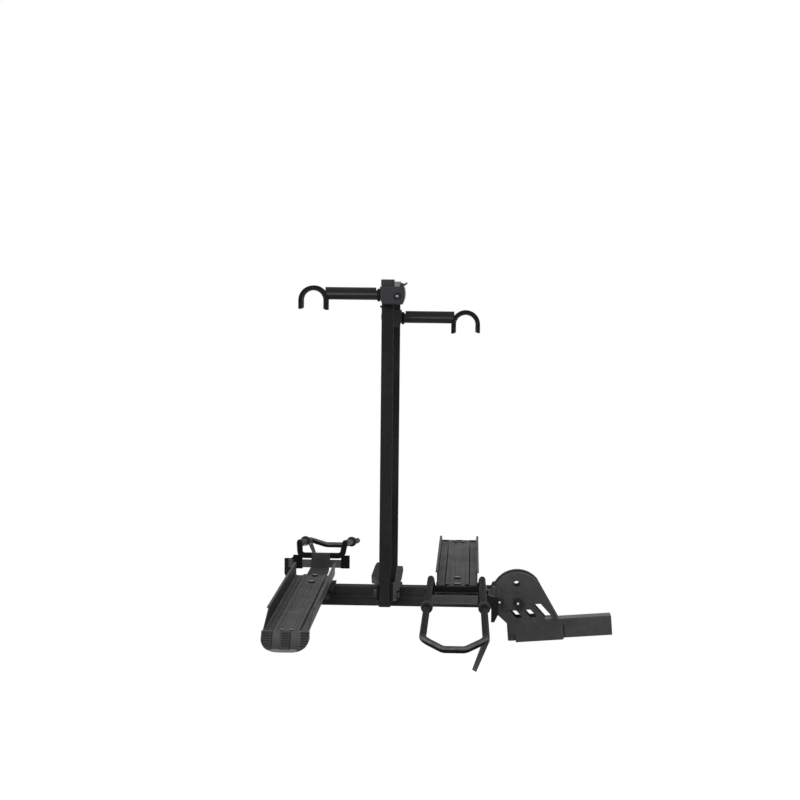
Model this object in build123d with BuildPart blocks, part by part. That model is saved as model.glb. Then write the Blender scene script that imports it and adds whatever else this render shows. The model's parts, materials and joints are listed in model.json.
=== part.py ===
"""A two-bike hitch rack: hitch shank, tilting spine, two wheel carriers and two folding posts.

Millimetres. The origin is on the shank's axis at the hitch-bolt hole, +X points at the vehicle and
+Z is up, square to the bike platform.
"""

import math
import os

from build123d import *

# Shank and tilt bracket. Along: from the hitch bolt towards the vehicle. Above: from the shank's axis.
SHANK_SIDE = 50.8
SHANK_WALL = 6.35
SHANK_CORNER = 4.0
SHANK_VEHICLE_END = 57.0
SHANK_STUB = 28.0
HITCH_PITCH = 4.5
HITCH_BOLT_DIAMETER = 12.7
WELD_NUT_FLATS = 22.0
WELD_NUT_HEIGHT = 10.0
PIVOT_ALONG = -182.0
PIVOT_ABOVE = 76.0
PLATE_THICKNESS = 6.0
CROWN_RADIUS = 68.0
CROWN_RISE = 10.0
LOCK_FROM_CROWN_EDGE = 20.0
LOCK_HOLE_DIAMETER = 16.0
LOCK_ANGLE = 6.0
STOW_ANGLE = 90.0
SLOT_SLANT = 52.0
SLOT_CORNER = 3.0
STRIP_CORNER = 3.0
STRIP_EDGE_BREAK = 6.0
STRIP_SHOULDER_RUN = 10.0
STRIP_OVERHANG = 3.0

# Pivot bolt, ears and the lock pin.
PIVOT_DIAMETER = 16.0
PIVOT_HEAD_FLATS = 24.0
PIVOT_HEAD_HEIGHT = 10.0
PIVOT_NUT_HEIGHT = 13.0
BOLT_END_PROUD = 3.0
WASHER_DIAMETER = 32.0
WASHER_THICKNESS = 2.5
SLEEVE_DIAMETER = 26.0
EAR_THICKNESS = 6.0
LOCK_PIN_DIAMETER = 15.0
LOCK_PIN_TRAVEL = 10.0
LOCK_GUIDE_DIAMETER = 21.0
LOCK_GUIDE_LENGTH = 8.0
LOCK_KNOB_DIAMETER = 20.0
LOCK_KNOB_LENGTH = 9.0

# Spine.
SPINE_SIDE = 50.0
SPINE_WALL = 3.0
SPINE_CORNER = 5.0
SPINE_ABOVE_PIVOT = 8.0
SPINE_END_FROM_PIVOT = 584.0
CROWN_SWEEP_GAP = 2.0
FLANGE_THICKNESS = 8.0
EAR_RIB_FROM_FLANGE = 21.5
EAR_RIB_THICKNESS = 7.5
EAR_RIB_HEIGHT = 8.0
CAP_THICKNESS = 4.0
SHANK_PLUG_LENGTH = 14.0
SPINE_PLUG_LENGTH = 5.0
PLUG_WALL = 2.75

# Wheel carriers, measured in each carrier's own frame: the hoop lies at -Y and the tray at +Y.
RIGHT_CARRIER_FROM_PIVOT = 158.0
LEFT_CARRIER_FROM_PIVOT = 535.0
BAR_WIDTH = 50.0
BAR_THICKNESS = 12.0
BAR_TRAY_END = 600.0
BAR_HOOP_END = 254.0
BAR_KNEE = 205.0
BAR_SEAT_ABOVE = 5.0
BAR_SEAT_BELOW = 12.0
BAR_SEAT_LENGTH = 13.0
BAR_KNEE_SET = 6.0
ANGLE_WIDTH = 112.0
ANGLE_THICKNESS = 5.0
ANGLE_LEG = 46.0
ANGLE_FOOT = 48.0
ANGLE_BOLT_SPACING = 76.0
ANGLE_BOLT_DIAMETER = 10.0
BAR_BOLT_DIAMETER = 8.0
TRAY_WIDTH = 112.0
TRAY_HEIGHT = 37.0
TRAY_END_HEIGHT = 6.0
TRAY_WALL = 2.5
TRAY_LIP = 6.0
TRAY_FOOT_RISE = 5.0
TRAY_FOOT_SET = 3.0
TRAY_END_FLAT = 12.0
TRAY_INNER_END = -60.0
TRAY_LENGTH = 797.0
TRAY_TAPER = 130.0
TRAY_GROOVE_OFFSET = 26.0
TRAY_GROOVE_WIDTH = 14.0
TRAY_GROOVE_RISE = 3.0
TRAY_GROOVE_SLOPE = 3.0
NOSE_LENGTH = 38.0
NOSE_DROP = 36.0
NOSE_CORNER = 15.0
NOSE_RIBS = 6
NOSE_GROOVE_OFFSET = 20.5
NOSE_GROOVE_WIDTH = 19.0
NOSE_SCREW_DIAMETER = 6.0
NOSE_SCREW_INSET = 20.0
NOSE_SCREW_SPACING = 20.0
ROD_DIAMETER = 16.0
HOOP_REAR = (58.0, -262.0, 62.0)
HOOP_CREST = (63.0, -288.0, 94.0)
HOOP_CORNER = (71.0, -758.0, 34.0)
HOOP_NOSE = (25.0, -783.0, 16.0)
HOOP_REAR_BEND = 14.0
HOOP_CREST_BEND = 17.0
HOOP_CORNER_BEND = 28.0
HOOP_NOSE_BEND = 22.0

# Wheel strap and ratchet buckle.
STRAP_WIDTH = 22.0
STRAP_THICKNESS = 3.0
STRAP_HEIGHT = 38.0
BUCKLE_WIDTH = 30.0
BUCKLE_DEPTH = 16.0
BUCKLE_WALL = 3.0
BUCKLE_AXLE_DIAMETER = 6.0
BUCKLE_LEVER_LENGTH = 56.0

# Posts, their brackets and the fold levers, measured from each post's axis: the spine lies at +Y.
MAST_FROM_PIVOT = 344.0
BACK_POST_SHIFT = 12.0
POST_SIDE = 30.0
POST_WALL = 2.0
POST_CORNER = 3.0
FRONT_POST_TOP = 815.0
BACK_POST_TOP = 809.0
POST_FOOT = 17.5
FOLD_AXIS_ABOVE_SPINE = 15.0
FOLD_REACH = 38.0
FOLD_BOLT_DIAMETER = 12.0
BRACKET_GAP = 0.8
BRACKET_WALL = 5.0
BRACKET_BACK = 4.0
BRACKET_ABOVE = 24.0
BRACKET_BELOW = 20.0
BRACKET_FRONT = 18.0
BRACKET_CORNER = 16.0
LEVER_HUB_DIAMETER = 34.0
LEVER_HUB_WIDTH = 9.0
LEVER_LENGTH = 73.0
LEVER_TIP_DEPTH = 15.0
LEVER_CORNER = 3.0
BACK_LEVER_LEAN = 42.0
POST_CAP_WALL = 2.0
POST_CAP_SKIRT = 6.8
POST_CAP_TOP = 10.0

# Arm heads: the arm leaves at -X, and the mechanism stands off the post at -Y.
FRONT_HEAD_BOTTOM = 762.0
BACK_HEAD_BOTTOM = 699.0
HEAD_HEIGHT = 45.7
HEAD_ARM_SIDE = 18.0
FRONT_LOCK_SIDE = 45.0
BACK_LOCK_SIDE = 34.0
HEAD_OUTER = 52.0
HEAD_SPLIT = 18.0
HEAD_INNER = 20.0
HEAD_TAPER = 7.0
HEAD_EDGE = 3.0
HEAD_POST_GAP = 0.35
ARM_DIAMETER = 25.4
ARM_WALL = 2.0
ARM_HEIGHT = 23.2
ARM_RAIL_HEIGHT = 6.5
ARM_RAIL_WIDTH = 8.0
ARM_RAIL_GAP = 3.0
ARM_OFFSET = 34.0
ARM_REACH = 187.0
COLLAR_DIAMETER = 33.0
COLLAR_EDGE = 1.5
COLLAR_LENGTH = 7.0
HOOK_RADIUS = 30.0
HOOK_THICKNESS = 8.0
HOOK_WIDTH = 30.0
HOOK_ARM_LEG = 24.0
HOOK_OUTER_LEG = 22.0
PAD_THICKNESS = 4.0
PAD_SHORT = 2.0
LOCK_BARREL_DIAMETER = 14.0
FRONT_BARREL_X = 25.8
BACK_BARREL_X = 20.5
LOCK_BARREL_HEIGHT = 21.4
LOCK_BARREL_DEPTH = 10.0
LOCK_BARREL_PROUD = 1.5
KEYWAY_WIDTH = 2.0
RELEASE_FROM_SIDE = 8.0
RELEASE_WIDTH = 16.0
RELEASE_PIN_DIAMETER = 5.0
RELEASE_HUB_RADIUS = 4.3

# Clearances.
RUNNING_FIT = 0.05
BOLT_CLEARANCE = 0.1
SIDE_GAP = 0.5
FACE_GAP = 0.3
SEAT_GAP = 0.1

# How far a cutting tool reaches past a face.
PAST = 1.0

HITCH_RADIANS = math.radians(HITCH_PITCH)
HITCH_X = Vector(math.cos(HITCH_RADIANS), 0, math.sin(HITCH_RADIANS))
HITCH_Z = Vector(-math.sin(HITCH_RADIANS), 0, math.cos(HITCH_RADIANS))
PIVOT = HITCH_X * PIVOT_ALONG + HITCH_Z * PIVOT_ABOVE
SPINE_Z = PIVOT.Z + SPINE_ABOVE_PIVOT
LOCK_RADIUS = CROWN_RADIUS - LOCK_FROM_CROWN_EDGE
PLATE_INNER = SHANK_SIDE / 2
PLATE_OUTER = PLATE_INNER + PLATE_THICKNESS
EAR_INNER = PLATE_OUTER + SIDE_GAP
EAR_OUTER = EAR_INNER + EAR_THICKNESS
FLANGE_FROM_PIVOT = CROWN_RADIUS + CROWN_RISE + CROWN_SWEEP_GAP
FLANGE_X = PIVOT.X - FLANGE_FROM_PIVOT
SPINE_RIGHT = FLANGE_X - FLANGE_THICKNESS
SPINE_LEFT = PIVOT.X - SPINE_END_FROM_PIVOT
SPINE_HALF = SPINE_SIDE / 2
ROD_RADIUS = ROD_DIAMETER / 2
POST_HALF = POST_SIDE / 2
TRAY_FLOOR = SPINE_HALF + BAR_THICKNESS
TRAY_OUTER_END = TRAY_INNER_END + TRAY_LENGTH

os.makedirs("parts", exist_ok=True)


def save(builder, name):
    builder.part.label = name
    export_step(builder.part, f"parts/{name}.step")


def save_at(builder, frame, name):
    placed = builder.part.moved(frame.location)
    placed.label = name
    export_step(placed, f"parts/{name}.step")


def side_plane(y):
    """Row frame, drawn as seen from the near side: sketch x is +X and sketch y is +Z."""
    return Plane(origin=(0, y, 0), x_dir=(1, 0, 0), z_dir=(0, -1, 0))


def hitch_side(y):
    """Tilt pivot frame of the hitch, drawn from the near side, at a given Y."""
    return Plane(origin=(PIVOT.X, y, PIVOT.Z), x_dir=HITCH_X, z_dir=(0, -1, 0))


def ear_side(y):
    """Tilt pivot frame of the spine, drawn from the near side, at a given Y."""
    return Plane(origin=(PIVOT.X, y, PIVOT.Z), x_dir=(1, 0, 0), z_dir=(0, -1, 0))


def local_plane(frame, point, x_dir, z_dir):
    """A sketch plane at a point of a frame, with its directions given in that frame."""
    origin = frame.from_local_coords(Vector(*point))
    turn_x = frame.from_local_coords(Vector(*x_dir)) - frame.origin
    turn_z = frame.from_local_coords(Vector(*z_dir)) - frame.origin
    return Plane(origin=origin, x_dir=turn_x, z_dir=turn_z)


def front_of(frame, y):
    return local_plane(frame, (0, y, 0), (1, 0, 0), (0, -1, 0))


def side_of(frame, x):
    return local_plane(frame, (x, 0, 0), (0, 1, 0), (1, 0, 0))


def top_of(frame, z):
    return local_plane(frame, (0, 0, z), (1, 0, 0), (0, 0, 1))


def polar(radius, degrees):
    return (radius * math.cos(math.radians(degrees)), radius * math.sin(math.radians(degrees)))


# Hitch shank, square tube with the threaded hitch-bolt hole in its far wall.

SHANK_BACK_END = PIVOT_ALONG - SHANK_STUB
SHANK_SECTION = Plane(origin=HITCH_X * SHANK_BACK_END, x_dir=(0, 1, 0), z_dir=HITCH_X)

with BuildPart() as hitch_shank:
    with BuildSketch(SHANK_SECTION):
        RectangleRounded(SHANK_SIDE, SHANK_SIDE, SHANK_CORNER)
        Rectangle(SHANK_SIDE - 2 * SHANK_WALL, SHANK_SIDE - 2 * SHANK_WALL, mode=Mode.SUBTRACT)
    extrude(amount=SHANK_VEHICLE_END - SHANK_BACK_END)
    with BuildSketch(Plane.XZ.offset(-SHANK_SIDE / 2)):
        Circle(HITCH_BOLT_DIAMETER / 2)
    extrude(amount=SHANK_WALL + PAST, mode=Mode.SUBTRACT)
save(hitch_shank, "hitch_shank")

with BuildPart() as hitch_weld_nut:
    with BuildSketch(Plane.XZ.offset(-(SHANK_SIDE / 2 - SHANK_WALL))):
        RegularPolygon(WELD_NUT_FLATS / 2, 6, major_radius=False)
        Circle(HITCH_BOLT_DIAMETER / 2, mode=Mode.SUBTRACT)
    extrude(amount=WELD_NUT_HEIGHT)
save(hitch_weld_nut, "hitch_weld_nut")

with BuildPart() as shank_end_plug:
    plug_start = HITCH_X * (SHANK_BACK_END - CAP_THICKNESS)
    with BuildSketch(Plane(origin=plug_start, x_dir=(0, 1, 0), z_dir=HITCH_X)):
        RectangleRounded(SHANK_SIDE - 2 * SIDE_GAP, SHANK_SIDE - 2 * SIDE_GAP, SHANK_CORNER)
    extrude(amount=CAP_THICKNESS)
    fillet(shank_end_plug.faces().sort_by(Axis(PIVOT, HITCH_X))[0].edges(), 1.5)
    with BuildSketch(SHANK_SECTION):
        plug_side = SHANK_SIDE - 2 * SHANK_WALL - 2 * SEAT_GAP
        Rectangle(plug_side, plug_side)
        Rectangle(plug_side - 2 * PLUG_WALL, plug_side - 2 * PLUG_WALL, mode=Mode.SUBTRACT)
    extrude(amount=SHANK_PLUG_LENGTH)
save(shank_end_plug, "shank_end_plug")


# Side plates: a round crown over the tilt pivot, cut down to a strip along the shank.

CROWN_RIGHT = 36.5
CROWN_LEFT = 212.5
STRIP_RIGHT = 113.0
STRIP_SHOULDER = -57.0
STRIP_LEFT = -28.0
STRIP_NOTCH = -80.0
STRIP_FOOT_LEFT = -12.0
STRIP_BOTTOM = -(PIVOT_ABOVE + SHANK_SIDE / 2 + STRIP_OVERHANG)
# Lightening slots: left end of the top edge, width of the slot, top edge, bottom edge.
SIDE_SLOTS = [(-23.0, 17.0, -21.0, -42.5), (12.7, 18.6, -21.0, -42.5), (37.6, 21.0, -7.5, -49.5)]


def side_plate(y_low):
    crown_x, crown_y = 0.0, CROWN_RISE
    right = polar(CROWN_RADIUS, CROWN_RIGHT)
    left = polar(CROWN_RADIUS, CROWN_LEFT)
    with BuildPart() as plate:
        with BuildSketch(hitch_side(y_low + PLATE_THICKNESS)):
            with BuildLine():
                start = (crown_x + right[0], crown_y + right[1])
                finish = (crown_x + left[0], crown_y + left[1])
                ThreePointArc(start, (crown_x, crown_y + CROWN_RADIUS), finish)
                Polyline(
                    finish,
                    (STRIP_LEFT, -58.0),
                    (STRIP_LEFT, STRIP_NOTCH),
                    (STRIP_FOOT_LEFT, STRIP_NOTCH - STRIP_EDGE_BREAK),
                    (STRIP_FOOT_LEFT, STRIP_BOTTOM),
                    (STRIP_RIGHT - STRIP_CORNER, STRIP_BOTTOM),
                    (STRIP_RIGHT, STRIP_BOTTOM + STRIP_CORNER),
                    (STRIP_RIGHT, STRIP_SHOULDER - STRIP_EDGE_BREAK),
                    (STRIP_RIGHT - STRIP_SHOULDER_RUN, STRIP_SHOULDER + STRIP_EDGE_BREAK),
                    start,
                )
            make_face()
            Circle(PIVOT_DIAMETER / 2 + BOLT_CLEARANCE, mode=Mode.SUBTRACT)
            for angle in (180 - LOCK_ANGLE - HITCH_PITCH, STOW_ANGLE):
                with Locations(polar(LOCK_RADIUS, angle)):
                    Circle(LOCK_HOLE_DIAMETER / 2, mode=Mode.SUBTRACT)
            for left_x, width, top, bottom in SIDE_SLOTS:
                run = (top - bottom) / math.tan(math.radians(SLOT_SLANT))
                with BuildSketch(mode=Mode.PRIVATE) as slot:
                    with BuildLine():
                        Polyline(
                            (left_x, top),
                            (left_x + width, top),
                            (left_x + width + run, bottom),
                            (left_x + run, bottom),
                            close=True,
                        )
                    make_face()
                    fillet(slot.vertices(), SLOT_CORNER)
                add(slot.sketch, mode=Mode.SUBTRACT)
        extrude(amount=PLATE_THICKNESS)
    return plate


save(side_plate(-PLATE_OUTER), "hitch_side_plate_near")
save(side_plate(PLATE_INNER), "hitch_side_plate_far")


# Pivot hardware, fixed in the side plates.

BOLT_STACK = EAR_OUTER + FACE_GAP + WASHER_THICKNESS

with BuildPart() as tilt_pivot_bolt:
    with BuildSketch(hitch_side(-BOLT_STACK)):
        RegularPolygon(PIVOT_HEAD_FLATS / 2, 6, major_radius=False)
    extrude(amount=PIVOT_HEAD_HEIGHT)
    chamfer(tilt_pivot_bolt.faces().sort_by(Axis.Y)[0].edges(), 1.2)
    with BuildSketch(hitch_side(BOLT_STACK + PIVOT_NUT_HEIGHT + BOLT_END_PROUD)):
        Circle(PIVOT_DIAMETER / 2)
    extrude(until=Until.NEXT)
save(tilt_pivot_bolt, "tilt_pivot_bolt")

with BuildPart() as tilt_pivot_nut:
    with BuildSketch(hitch_side(BOLT_STACK + PIVOT_NUT_HEIGHT)):
        RegularPolygon(PIVOT_HEAD_FLATS / 2, 6, major_radius=False)
        Circle(PIVOT_DIAMETER / 2 + SEAT_GAP, mode=Mode.SUBTRACT)
    extrude(amount=PIVOT_NUT_HEIGHT)
save(tilt_pivot_nut, "tilt_pivot_nut")

with BuildPart() as tilt_washers:
    for washer_y in (BOLT_STACK, -BOLT_STACK + WASHER_THICKNESS):
        with BuildSketch(hitch_side(washer_y)):
            Circle(WASHER_DIAMETER / 2)
            Circle(PIVOT_DIAMETER / 2 + SEAT_GAP, mode=Mode.SUBTRACT)
        extrude(amount=WASHER_THICKNESS)
save(tilt_washers, "tilt_washers")

with BuildPart() as tilt_pivot_sleeve:
    with BuildSketch(hitch_side(PLATE_INNER)):
        Circle(SLEEVE_DIAMETER / 2)
        Circle(PIVOT_DIAMETER / 2 + SEAT_GAP, mode=Mode.SUBTRACT)
    extrude(amount=2 * PLATE_INNER)
save(tilt_pivot_sleeve, "tilt_pivot_sleeve")


# Spine with its end flange and the two ears that turn on the pivot bolt.

def spine_section(x):
    return Plane(origin=(x, 0, SPINE_Z), x_dir=(0, 1, 0), z_dir=(1, 0, 0))


def spine_bolt_places():
    """Where the carriers' through bolts cross the spine, in the row frame's X and Z."""
    places = []
    for from_pivot in (RIGHT_CARRIER_FROM_PIVOT, LEFT_CARRIER_FROM_PIVOT):
        for offset in (-ANGLE_BOLT_SPACING / 2, ANGLE_BOLT_SPACING / 2):
            places.append((PIVOT.X - from_pivot + offset, SPINE_Z))
    return places


with BuildPart() as spine_tube:
    with BuildSketch(spine_section(SPINE_LEFT)):
        RectangleRounded(SPINE_SIDE, SPINE_SIDE, SPINE_CORNER)
        RectangleRounded(
            SPINE_SIDE - 2 * SPINE_WALL,
            SPINE_SIDE - 2 * SPINE_WALL,
            SPINE_CORNER - SPINE_WALL,
            mode=Mode.SUBTRACT,
        )
    extrude(amount=SPINE_RIGHT - SPINE_LEFT)
    with BuildSketch(side_plane(SPINE_HALF)):
        with Locations(*spine_bolt_places()):
            Circle(ANGLE_BOLT_DIAMETER / 2 + SEAT_GAP)
    extrude(amount=SPINE_SIDE, mode=Mode.SUBTRACT)
save(spine_tube, "spine_tube")

with BuildPart() as spine_end_flange:
    with BuildSketch(spine_section(SPINE_RIGHT)):
        Rectangle(2 * EAR_INNER, SPINE_SIDE)
    extrude(amount=FLANGE_THICKNESS)
save(spine_end_flange, "spine_end_flange")

with BuildPart() as spine_end_cap:
    with BuildSketch(spine_section(SPINE_LEFT - CAP_THICKNESS)):
        RectangleRounded(SPINE_SIDE, SPINE_SIDE, SPINE_CORNER)
    extrude(amount=CAP_THICKNESS)
    fillet(spine_end_cap.faces().sort_by(Axis.X)[0].edges(), 1.5)
    with BuildSketch(spine_section(SPINE_LEFT)):
        plug_side = SPINE_SIDE - 2 * SPINE_WALL - 2 * SEAT_GAP
        RectangleRounded(plug_side, plug_side, SPINE_CORNER - SPINE_WALL)
        Rectangle(plug_side - 2 * PLUG_WALL, plug_side - 2 * PLUG_WALL, mode=Mode.SUBTRACT)
    extrude(amount=SPINE_PLUG_LENGTH)
save(spine_end_cap, "spine_end_cap")

LOCK_PLACE = polar(LOCK_RADIUS, 180 - LOCK_ANGLE)
EAR_BELOW = 19.0
EAR_ABOVE = 23.0
EAR_NOSE = 13.0
EAR_SHOULDER = 42.0
EAR_CORNER = 8.0
EAR_STEP_RUN = 20.0
EAR_STEP_TOP = 6.0
EAR_STEP_BREAK = 3.5


def ear(y_low, rib_low):
    """A cheek beside the crown plates, with an upright rib on its outer face."""
    root = -FLANGE_FROM_PIVOT + EAR_RIB_FROM_FLANGE
    rib_back = root - EAR_RIB_THICKNESS
    back = -FLANGE_FROM_PIVOT - FLANGE_THICKNESS
    with BuildPart() as plate:
        with BuildSketch(ear_side(y_low + EAR_THICKNESS)):
            with BuildLine():
                Polyline(
                    (back, SPINE_ABOVE_PIVOT - SPINE_HALF),
                    (rib_back, SPINE_ABOVE_PIVOT - SPINE_HALF),
                    (rib_back, -EAR_BELOW),
                    (EAR_NOSE - EAR_CORNER, -EAR_BELOW),
                    (EAR_NOSE, -EAR_BELOW + EAR_CORNER),
                    (EAR_NOSE, EAR_ABOVE - EAR_CORNER),
                    (EAR_NOSE - EAR_CORNER, EAR_ABOVE),
                    (root + EAR_STEP_RUN, EAR_ABOVE),
                    (root + EAR_STEP_TOP + EAR_STEP_BREAK, EAR_SHOULDER - EAR_STEP_BREAK),
                    (root + EAR_STEP_TOP, EAR_SHOULDER),
                    (rib_back, EAR_SHOULDER),
                    (rib_back - EAR_STEP_BREAK, SPINE_ABOVE_PIVOT + SPINE_HALF),
                    (back, SPINE_ABOVE_PIVOT + SPINE_HALF),
                    close=True,
                )
            make_face()
            Circle(PIVOT_DIAMETER / 2 + RUNNING_FIT, mode=Mode.SUBTRACT)
            with Locations(LOCK_PLACE):
                Circle(LOCK_PIN_DIAMETER / 2 + RUNNING_FIT, mode=Mode.SUBTRACT)
        extrude(amount=EAR_THICKNESS)
        with BuildSketch(ear_side(rib_low + EAR_RIB_HEIGHT)):
            with Locations(((root + rib_back) / 2, (EAR_SHOULDER - EAR_BELOW) / 2)):
                RectangleRounded(EAR_RIB_THICKNESS, EAR_SHOULDER + EAR_BELOW, 2)
        extrude(amount=EAR_RIB_HEIGHT)
    return plate


save(ear(-EAR_OUTER, -EAR_OUTER - EAR_RIB_HEIGHT), "tilt_ear_near")
save(ear(EAR_INNER, EAR_OUTER), "tilt_ear_far")

LOCK_FACE = EAR_OUTER + LOCK_GUIDE_LENGTH
LOCK_KNOB_FACE = LOCK_FACE + LOCK_PIN_TRAVEL + FACE_GAP

with BuildPart() as lock_pin_guide:
    with BuildSketch(ear_side(-EAR_OUTER)):
        with Locations(LOCK_PLACE):
            Circle(LOCK_GUIDE_DIAMETER / 2)
            Circle(LOCK_PIN_DIAMETER / 2 + RUNNING_FIT, mode=Mode.SUBTRACT)
    extrude(amount=LOCK_GUIDE_LENGTH)
    chamfer(lock_pin_guide.faces().sort_by(Axis.Y)[0].outer_wire().edges(), 1.5)
save(lock_pin_guide, "lock_pin_guide")

with BuildPart() as lock_pin:
    with BuildSketch(ear_side(-EAR_INNER)):
        with Locations(LOCK_PLACE):
            Circle(LOCK_PIN_DIAMETER / 2)
    extrude(amount=LOCK_KNOB_FACE - EAR_INNER)
    chamfer(lock_pin.faces().sort_by(Axis.Y)[-1].edges(), 1.5)
    with BuildSketch(ear_side(-LOCK_KNOB_FACE)):
        with Locations(LOCK_PLACE):
            Circle(LOCK_KNOB_DIAMETER / 2)
    extrude(amount=LOCK_KNOB_LENGTH)
    fillet(lock_pin.faces().sort_by(Axis.Y)[0].edges(), 2)
save(lock_pin, "lock_pin")


# Wheel carriers: the right one has its hoop on the near side, the left one is the same turned round.

def carrier_frame(from_pivot, turn):
    return Plane(origin=(PIVOT.X - from_pivot, 0, SPINE_Z), x_dir=(turn, 0, 0), z_dir=(0, 0, 1))


CARRIERS = {
    "right": carrier_frame(RIGHT_CARRIER_FROM_PIVOT, 1),
    "left": carrier_frame(LEFT_CARRIER_FROM_PIVOT, -1),
}


def carrier_bar(frame):
    low = SPINE_HALF
    high = SPINE_HALF + BAR_THICKNESS
    seat_z = HOOP_REAR[2]
    with BuildPart() as bar:
        with BuildSketch(side_of(frame, -BAR_WIDTH / 2)):
            with BuildLine():
                Polyline(
                    (BAR_TRAY_END, low),
                    (BAR_TRAY_END, high),
                    (-BAR_KNEE, high),
                    (-BAR_HOOP_END + BAR_SEAT_LENGTH, seat_z + BAR_SEAT_ABOVE),
                    (-BAR_HOOP_END, seat_z + BAR_SEAT_ABOVE),
                    (-BAR_HOOP_END, seat_z - BAR_SEAT_BELOW),
                    (-BAR_KNEE - BAR_KNEE_SET, low),
                    close=True,
                )
            make_face()
        extrude(amount=BAR_WIDTH)
        with BuildSketch(side_of(frame, -BAR_WIDTH / 2 - PAST)):
            with Locations((HOOP_REAR[1], HOOP_REAR[2])):
                Circle(ROD_RADIUS + SEAT_GAP)
        extrude(amount=BAR_WIDTH + 2 * PAST, mode=Mode.SUBTRACT)
        with BuildSketch(top_of(frame, high)):
            with Locations(*[(0, y) for y in bar_bolt_places()]):
                Circle(BAR_BOLT_DIAMETER / 2 + SEAT_GAP)
        extrude(amount=-BAR_THICKNESS, mode=Mode.SUBTRACT)
    return bar


def bar_bolt_places():
    reach = SPINE_HALF + ANGLE_THICKNESS + (ANGLE_FOOT - ANGLE_THICKNESS) / 2
    return (-reach, reach)


def nose_screw_places():
    y = TRAY_OUTER_END - NOSE_SCREW_INSET
    return [(-NOSE_SCREW_SPACING / 2, y), (NOSE_SCREW_SPACING / 2, y)]


def carrier_angles(frame):
    """Two angle brackets that stand on the spine's faces and carry the bar and tray."""
    with BuildPart() as angles:
        for turn in (-1, 1):
            with BuildSketch(side_of(frame, -ANGLE_WIDTH / 2)):
                with BuildLine():
                    face = turn * SPINE_HALF
                    outer = turn * (SPINE_HALF + ANGLE_THICKNESS)
                    tip = turn * (SPINE_HALF + ANGLE_FOOT)
                    Polyline(
                        (face, SPINE_HALF),
                        (tip, SPINE_HALF),
                        (tip, SPINE_HALF - ANGLE_THICKNESS),
                        (outer, SPINE_HALF - ANGLE_THICKNESS),
                        (outer, SPINE_HALF - ANGLE_LEG),
                        (face, SPINE_HALF - ANGLE_LEG),
                        close=True,
                    )
                make_face()
            extrude(amount=ANGLE_WIDTH)
        with BuildSketch(front_of(frame, SPINE_HALF + ANGLE_FOOT)):
            with GridLocations(ANGLE_BOLT_SPACING, 0, 2, 1):
                Circle(ANGLE_BOLT_DIAMETER / 2 + SEAT_GAP)
        extrude(amount=2 * (SPINE_HALF + ANGLE_FOOT), mode=Mode.SUBTRACT)
        with BuildSketch(top_of(frame, SPINE_HALF)):
            with Locations(*[(0, y) for y in bar_bolt_places()]):
                Circle(BAR_BOLT_DIAMETER / 2 + SEAT_GAP)
        extrude(amount=-ANGLE_THICKNESS, mode=Mode.SUBTRACT)
    return angles


def add_hex(plane, places, flats, height):
    """Adds hexagonal heads or nuts to the part being built."""
    with BuildSketch(plane) as heads:
        with Locations(*places):
            RegularPolygon(flats / 2, 6, major_radius=False)
    extrude(heads.sketch, amount=height)


def add_rods(plane, places, diameter, length):
    """Adds round rods to the part being built."""
    with BuildSketch(plane) as rods:
        with Locations(*places):
            Circle(diameter / 2)
    extrude(rods.sketch, amount=length)


def tray(frame):
    half = TRAY_WIDTH / 2
    floor = TRAY_FLOOR
    top = floor + TRAY_HEIGHT
    groove = TRAY_GROOVE_WIDTH / 2
    crest = groove - TRAY_GROOVE_SLOPE
    wall = half - TRAY_LIP
    skin = wall + TRAY_WALL
    with BuildPart() as channel:
        with BuildSketch(front_of(frame, TRAY_OUTER_END)):
            with BuildLine():
                left = [(-wall, top), (-half, top), (-half, top - TRAY_WALL), (-skin, top - TRAY_WALL)]
                left += [(-skin, floor + TRAY_FOOT_RISE), (-wall + TRAY_FOOT_SET, floor)]
                under = []
                over = []
                for centre in (-TRAY_GROOVE_OFFSET, TRAY_GROOVE_OFFSET):
                    ridge = [(-groove, 0), (-crest, TRAY_GROOVE_RISE), (crest, TRAY_GROOVE_RISE), (groove, 0)]
                    for across, rise in ridge:
                        under.append((centre + across, floor + rise))
                        over.append((centre + across, floor + rise + TRAY_WALL))
                right = [(-x, z) for x, z in reversed(left)]
                foot = [(wall, floor + TRAY_FOOT_RISE), (wall - TRAY_WALL, floor + TRAY_WALL)]
                inner = foot + over[::-1] + [(-x, z) for x, z in reversed(foot)]
                Polyline(*left, *under, *right, *inner, close=True)
            make_face()
        extrude(amount=TRAY_LENGTH)
        with BuildSketch(side_of(frame, -half - PAST)):
            with BuildLine():
                Polyline(
                    (TRAY_OUTER_END - TRAY_TAPER, top + PAST),
                    (TRAY_OUTER_END - TRAY_TAPER, top),
                    (TRAY_OUTER_END - TRAY_END_FLAT, floor + TRAY_END_HEIGHT),
                    (TRAY_OUTER_END + PAST, floor + TRAY_END_HEIGHT),
                    (TRAY_OUTER_END + PAST, top + PAST),
                    close=True,
                )
            make_face()
        extrude(amount=TRAY_WIDTH + 2 * PAST, mode=Mode.SUBTRACT)
        with BuildSketch(top_of(frame, floor + TRAY_GROOVE_RISE + TRAY_WALL + PAST)):
            with Locations(*[(0, y) for y in bar_bolt_places()]):
                Circle(BAR_BOLT_DIAMETER / 2 + SEAT_GAP)
            with Locations(*nose_screw_places()):
                Circle(NOSE_SCREW_DIAMETER / 2 + SEAT_GAP)
        extrude(amount=-(TRAY_GROOVE_RISE + TRAY_WALL + 2 * PAST), mode=Mode.SUBTRACT)
    return channel


for side, frame in CARRIERS.items():
    save(carrier_bar(frame), f"{side}_carrier_bar")
    save(carrier_angles(frame), f"{side}_carrier_angles")
    save(tray(frame), f"{side}_tray")


# Fasteners of the carriers: two bolts through the spine and two down through tray, bar and angles.

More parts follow.
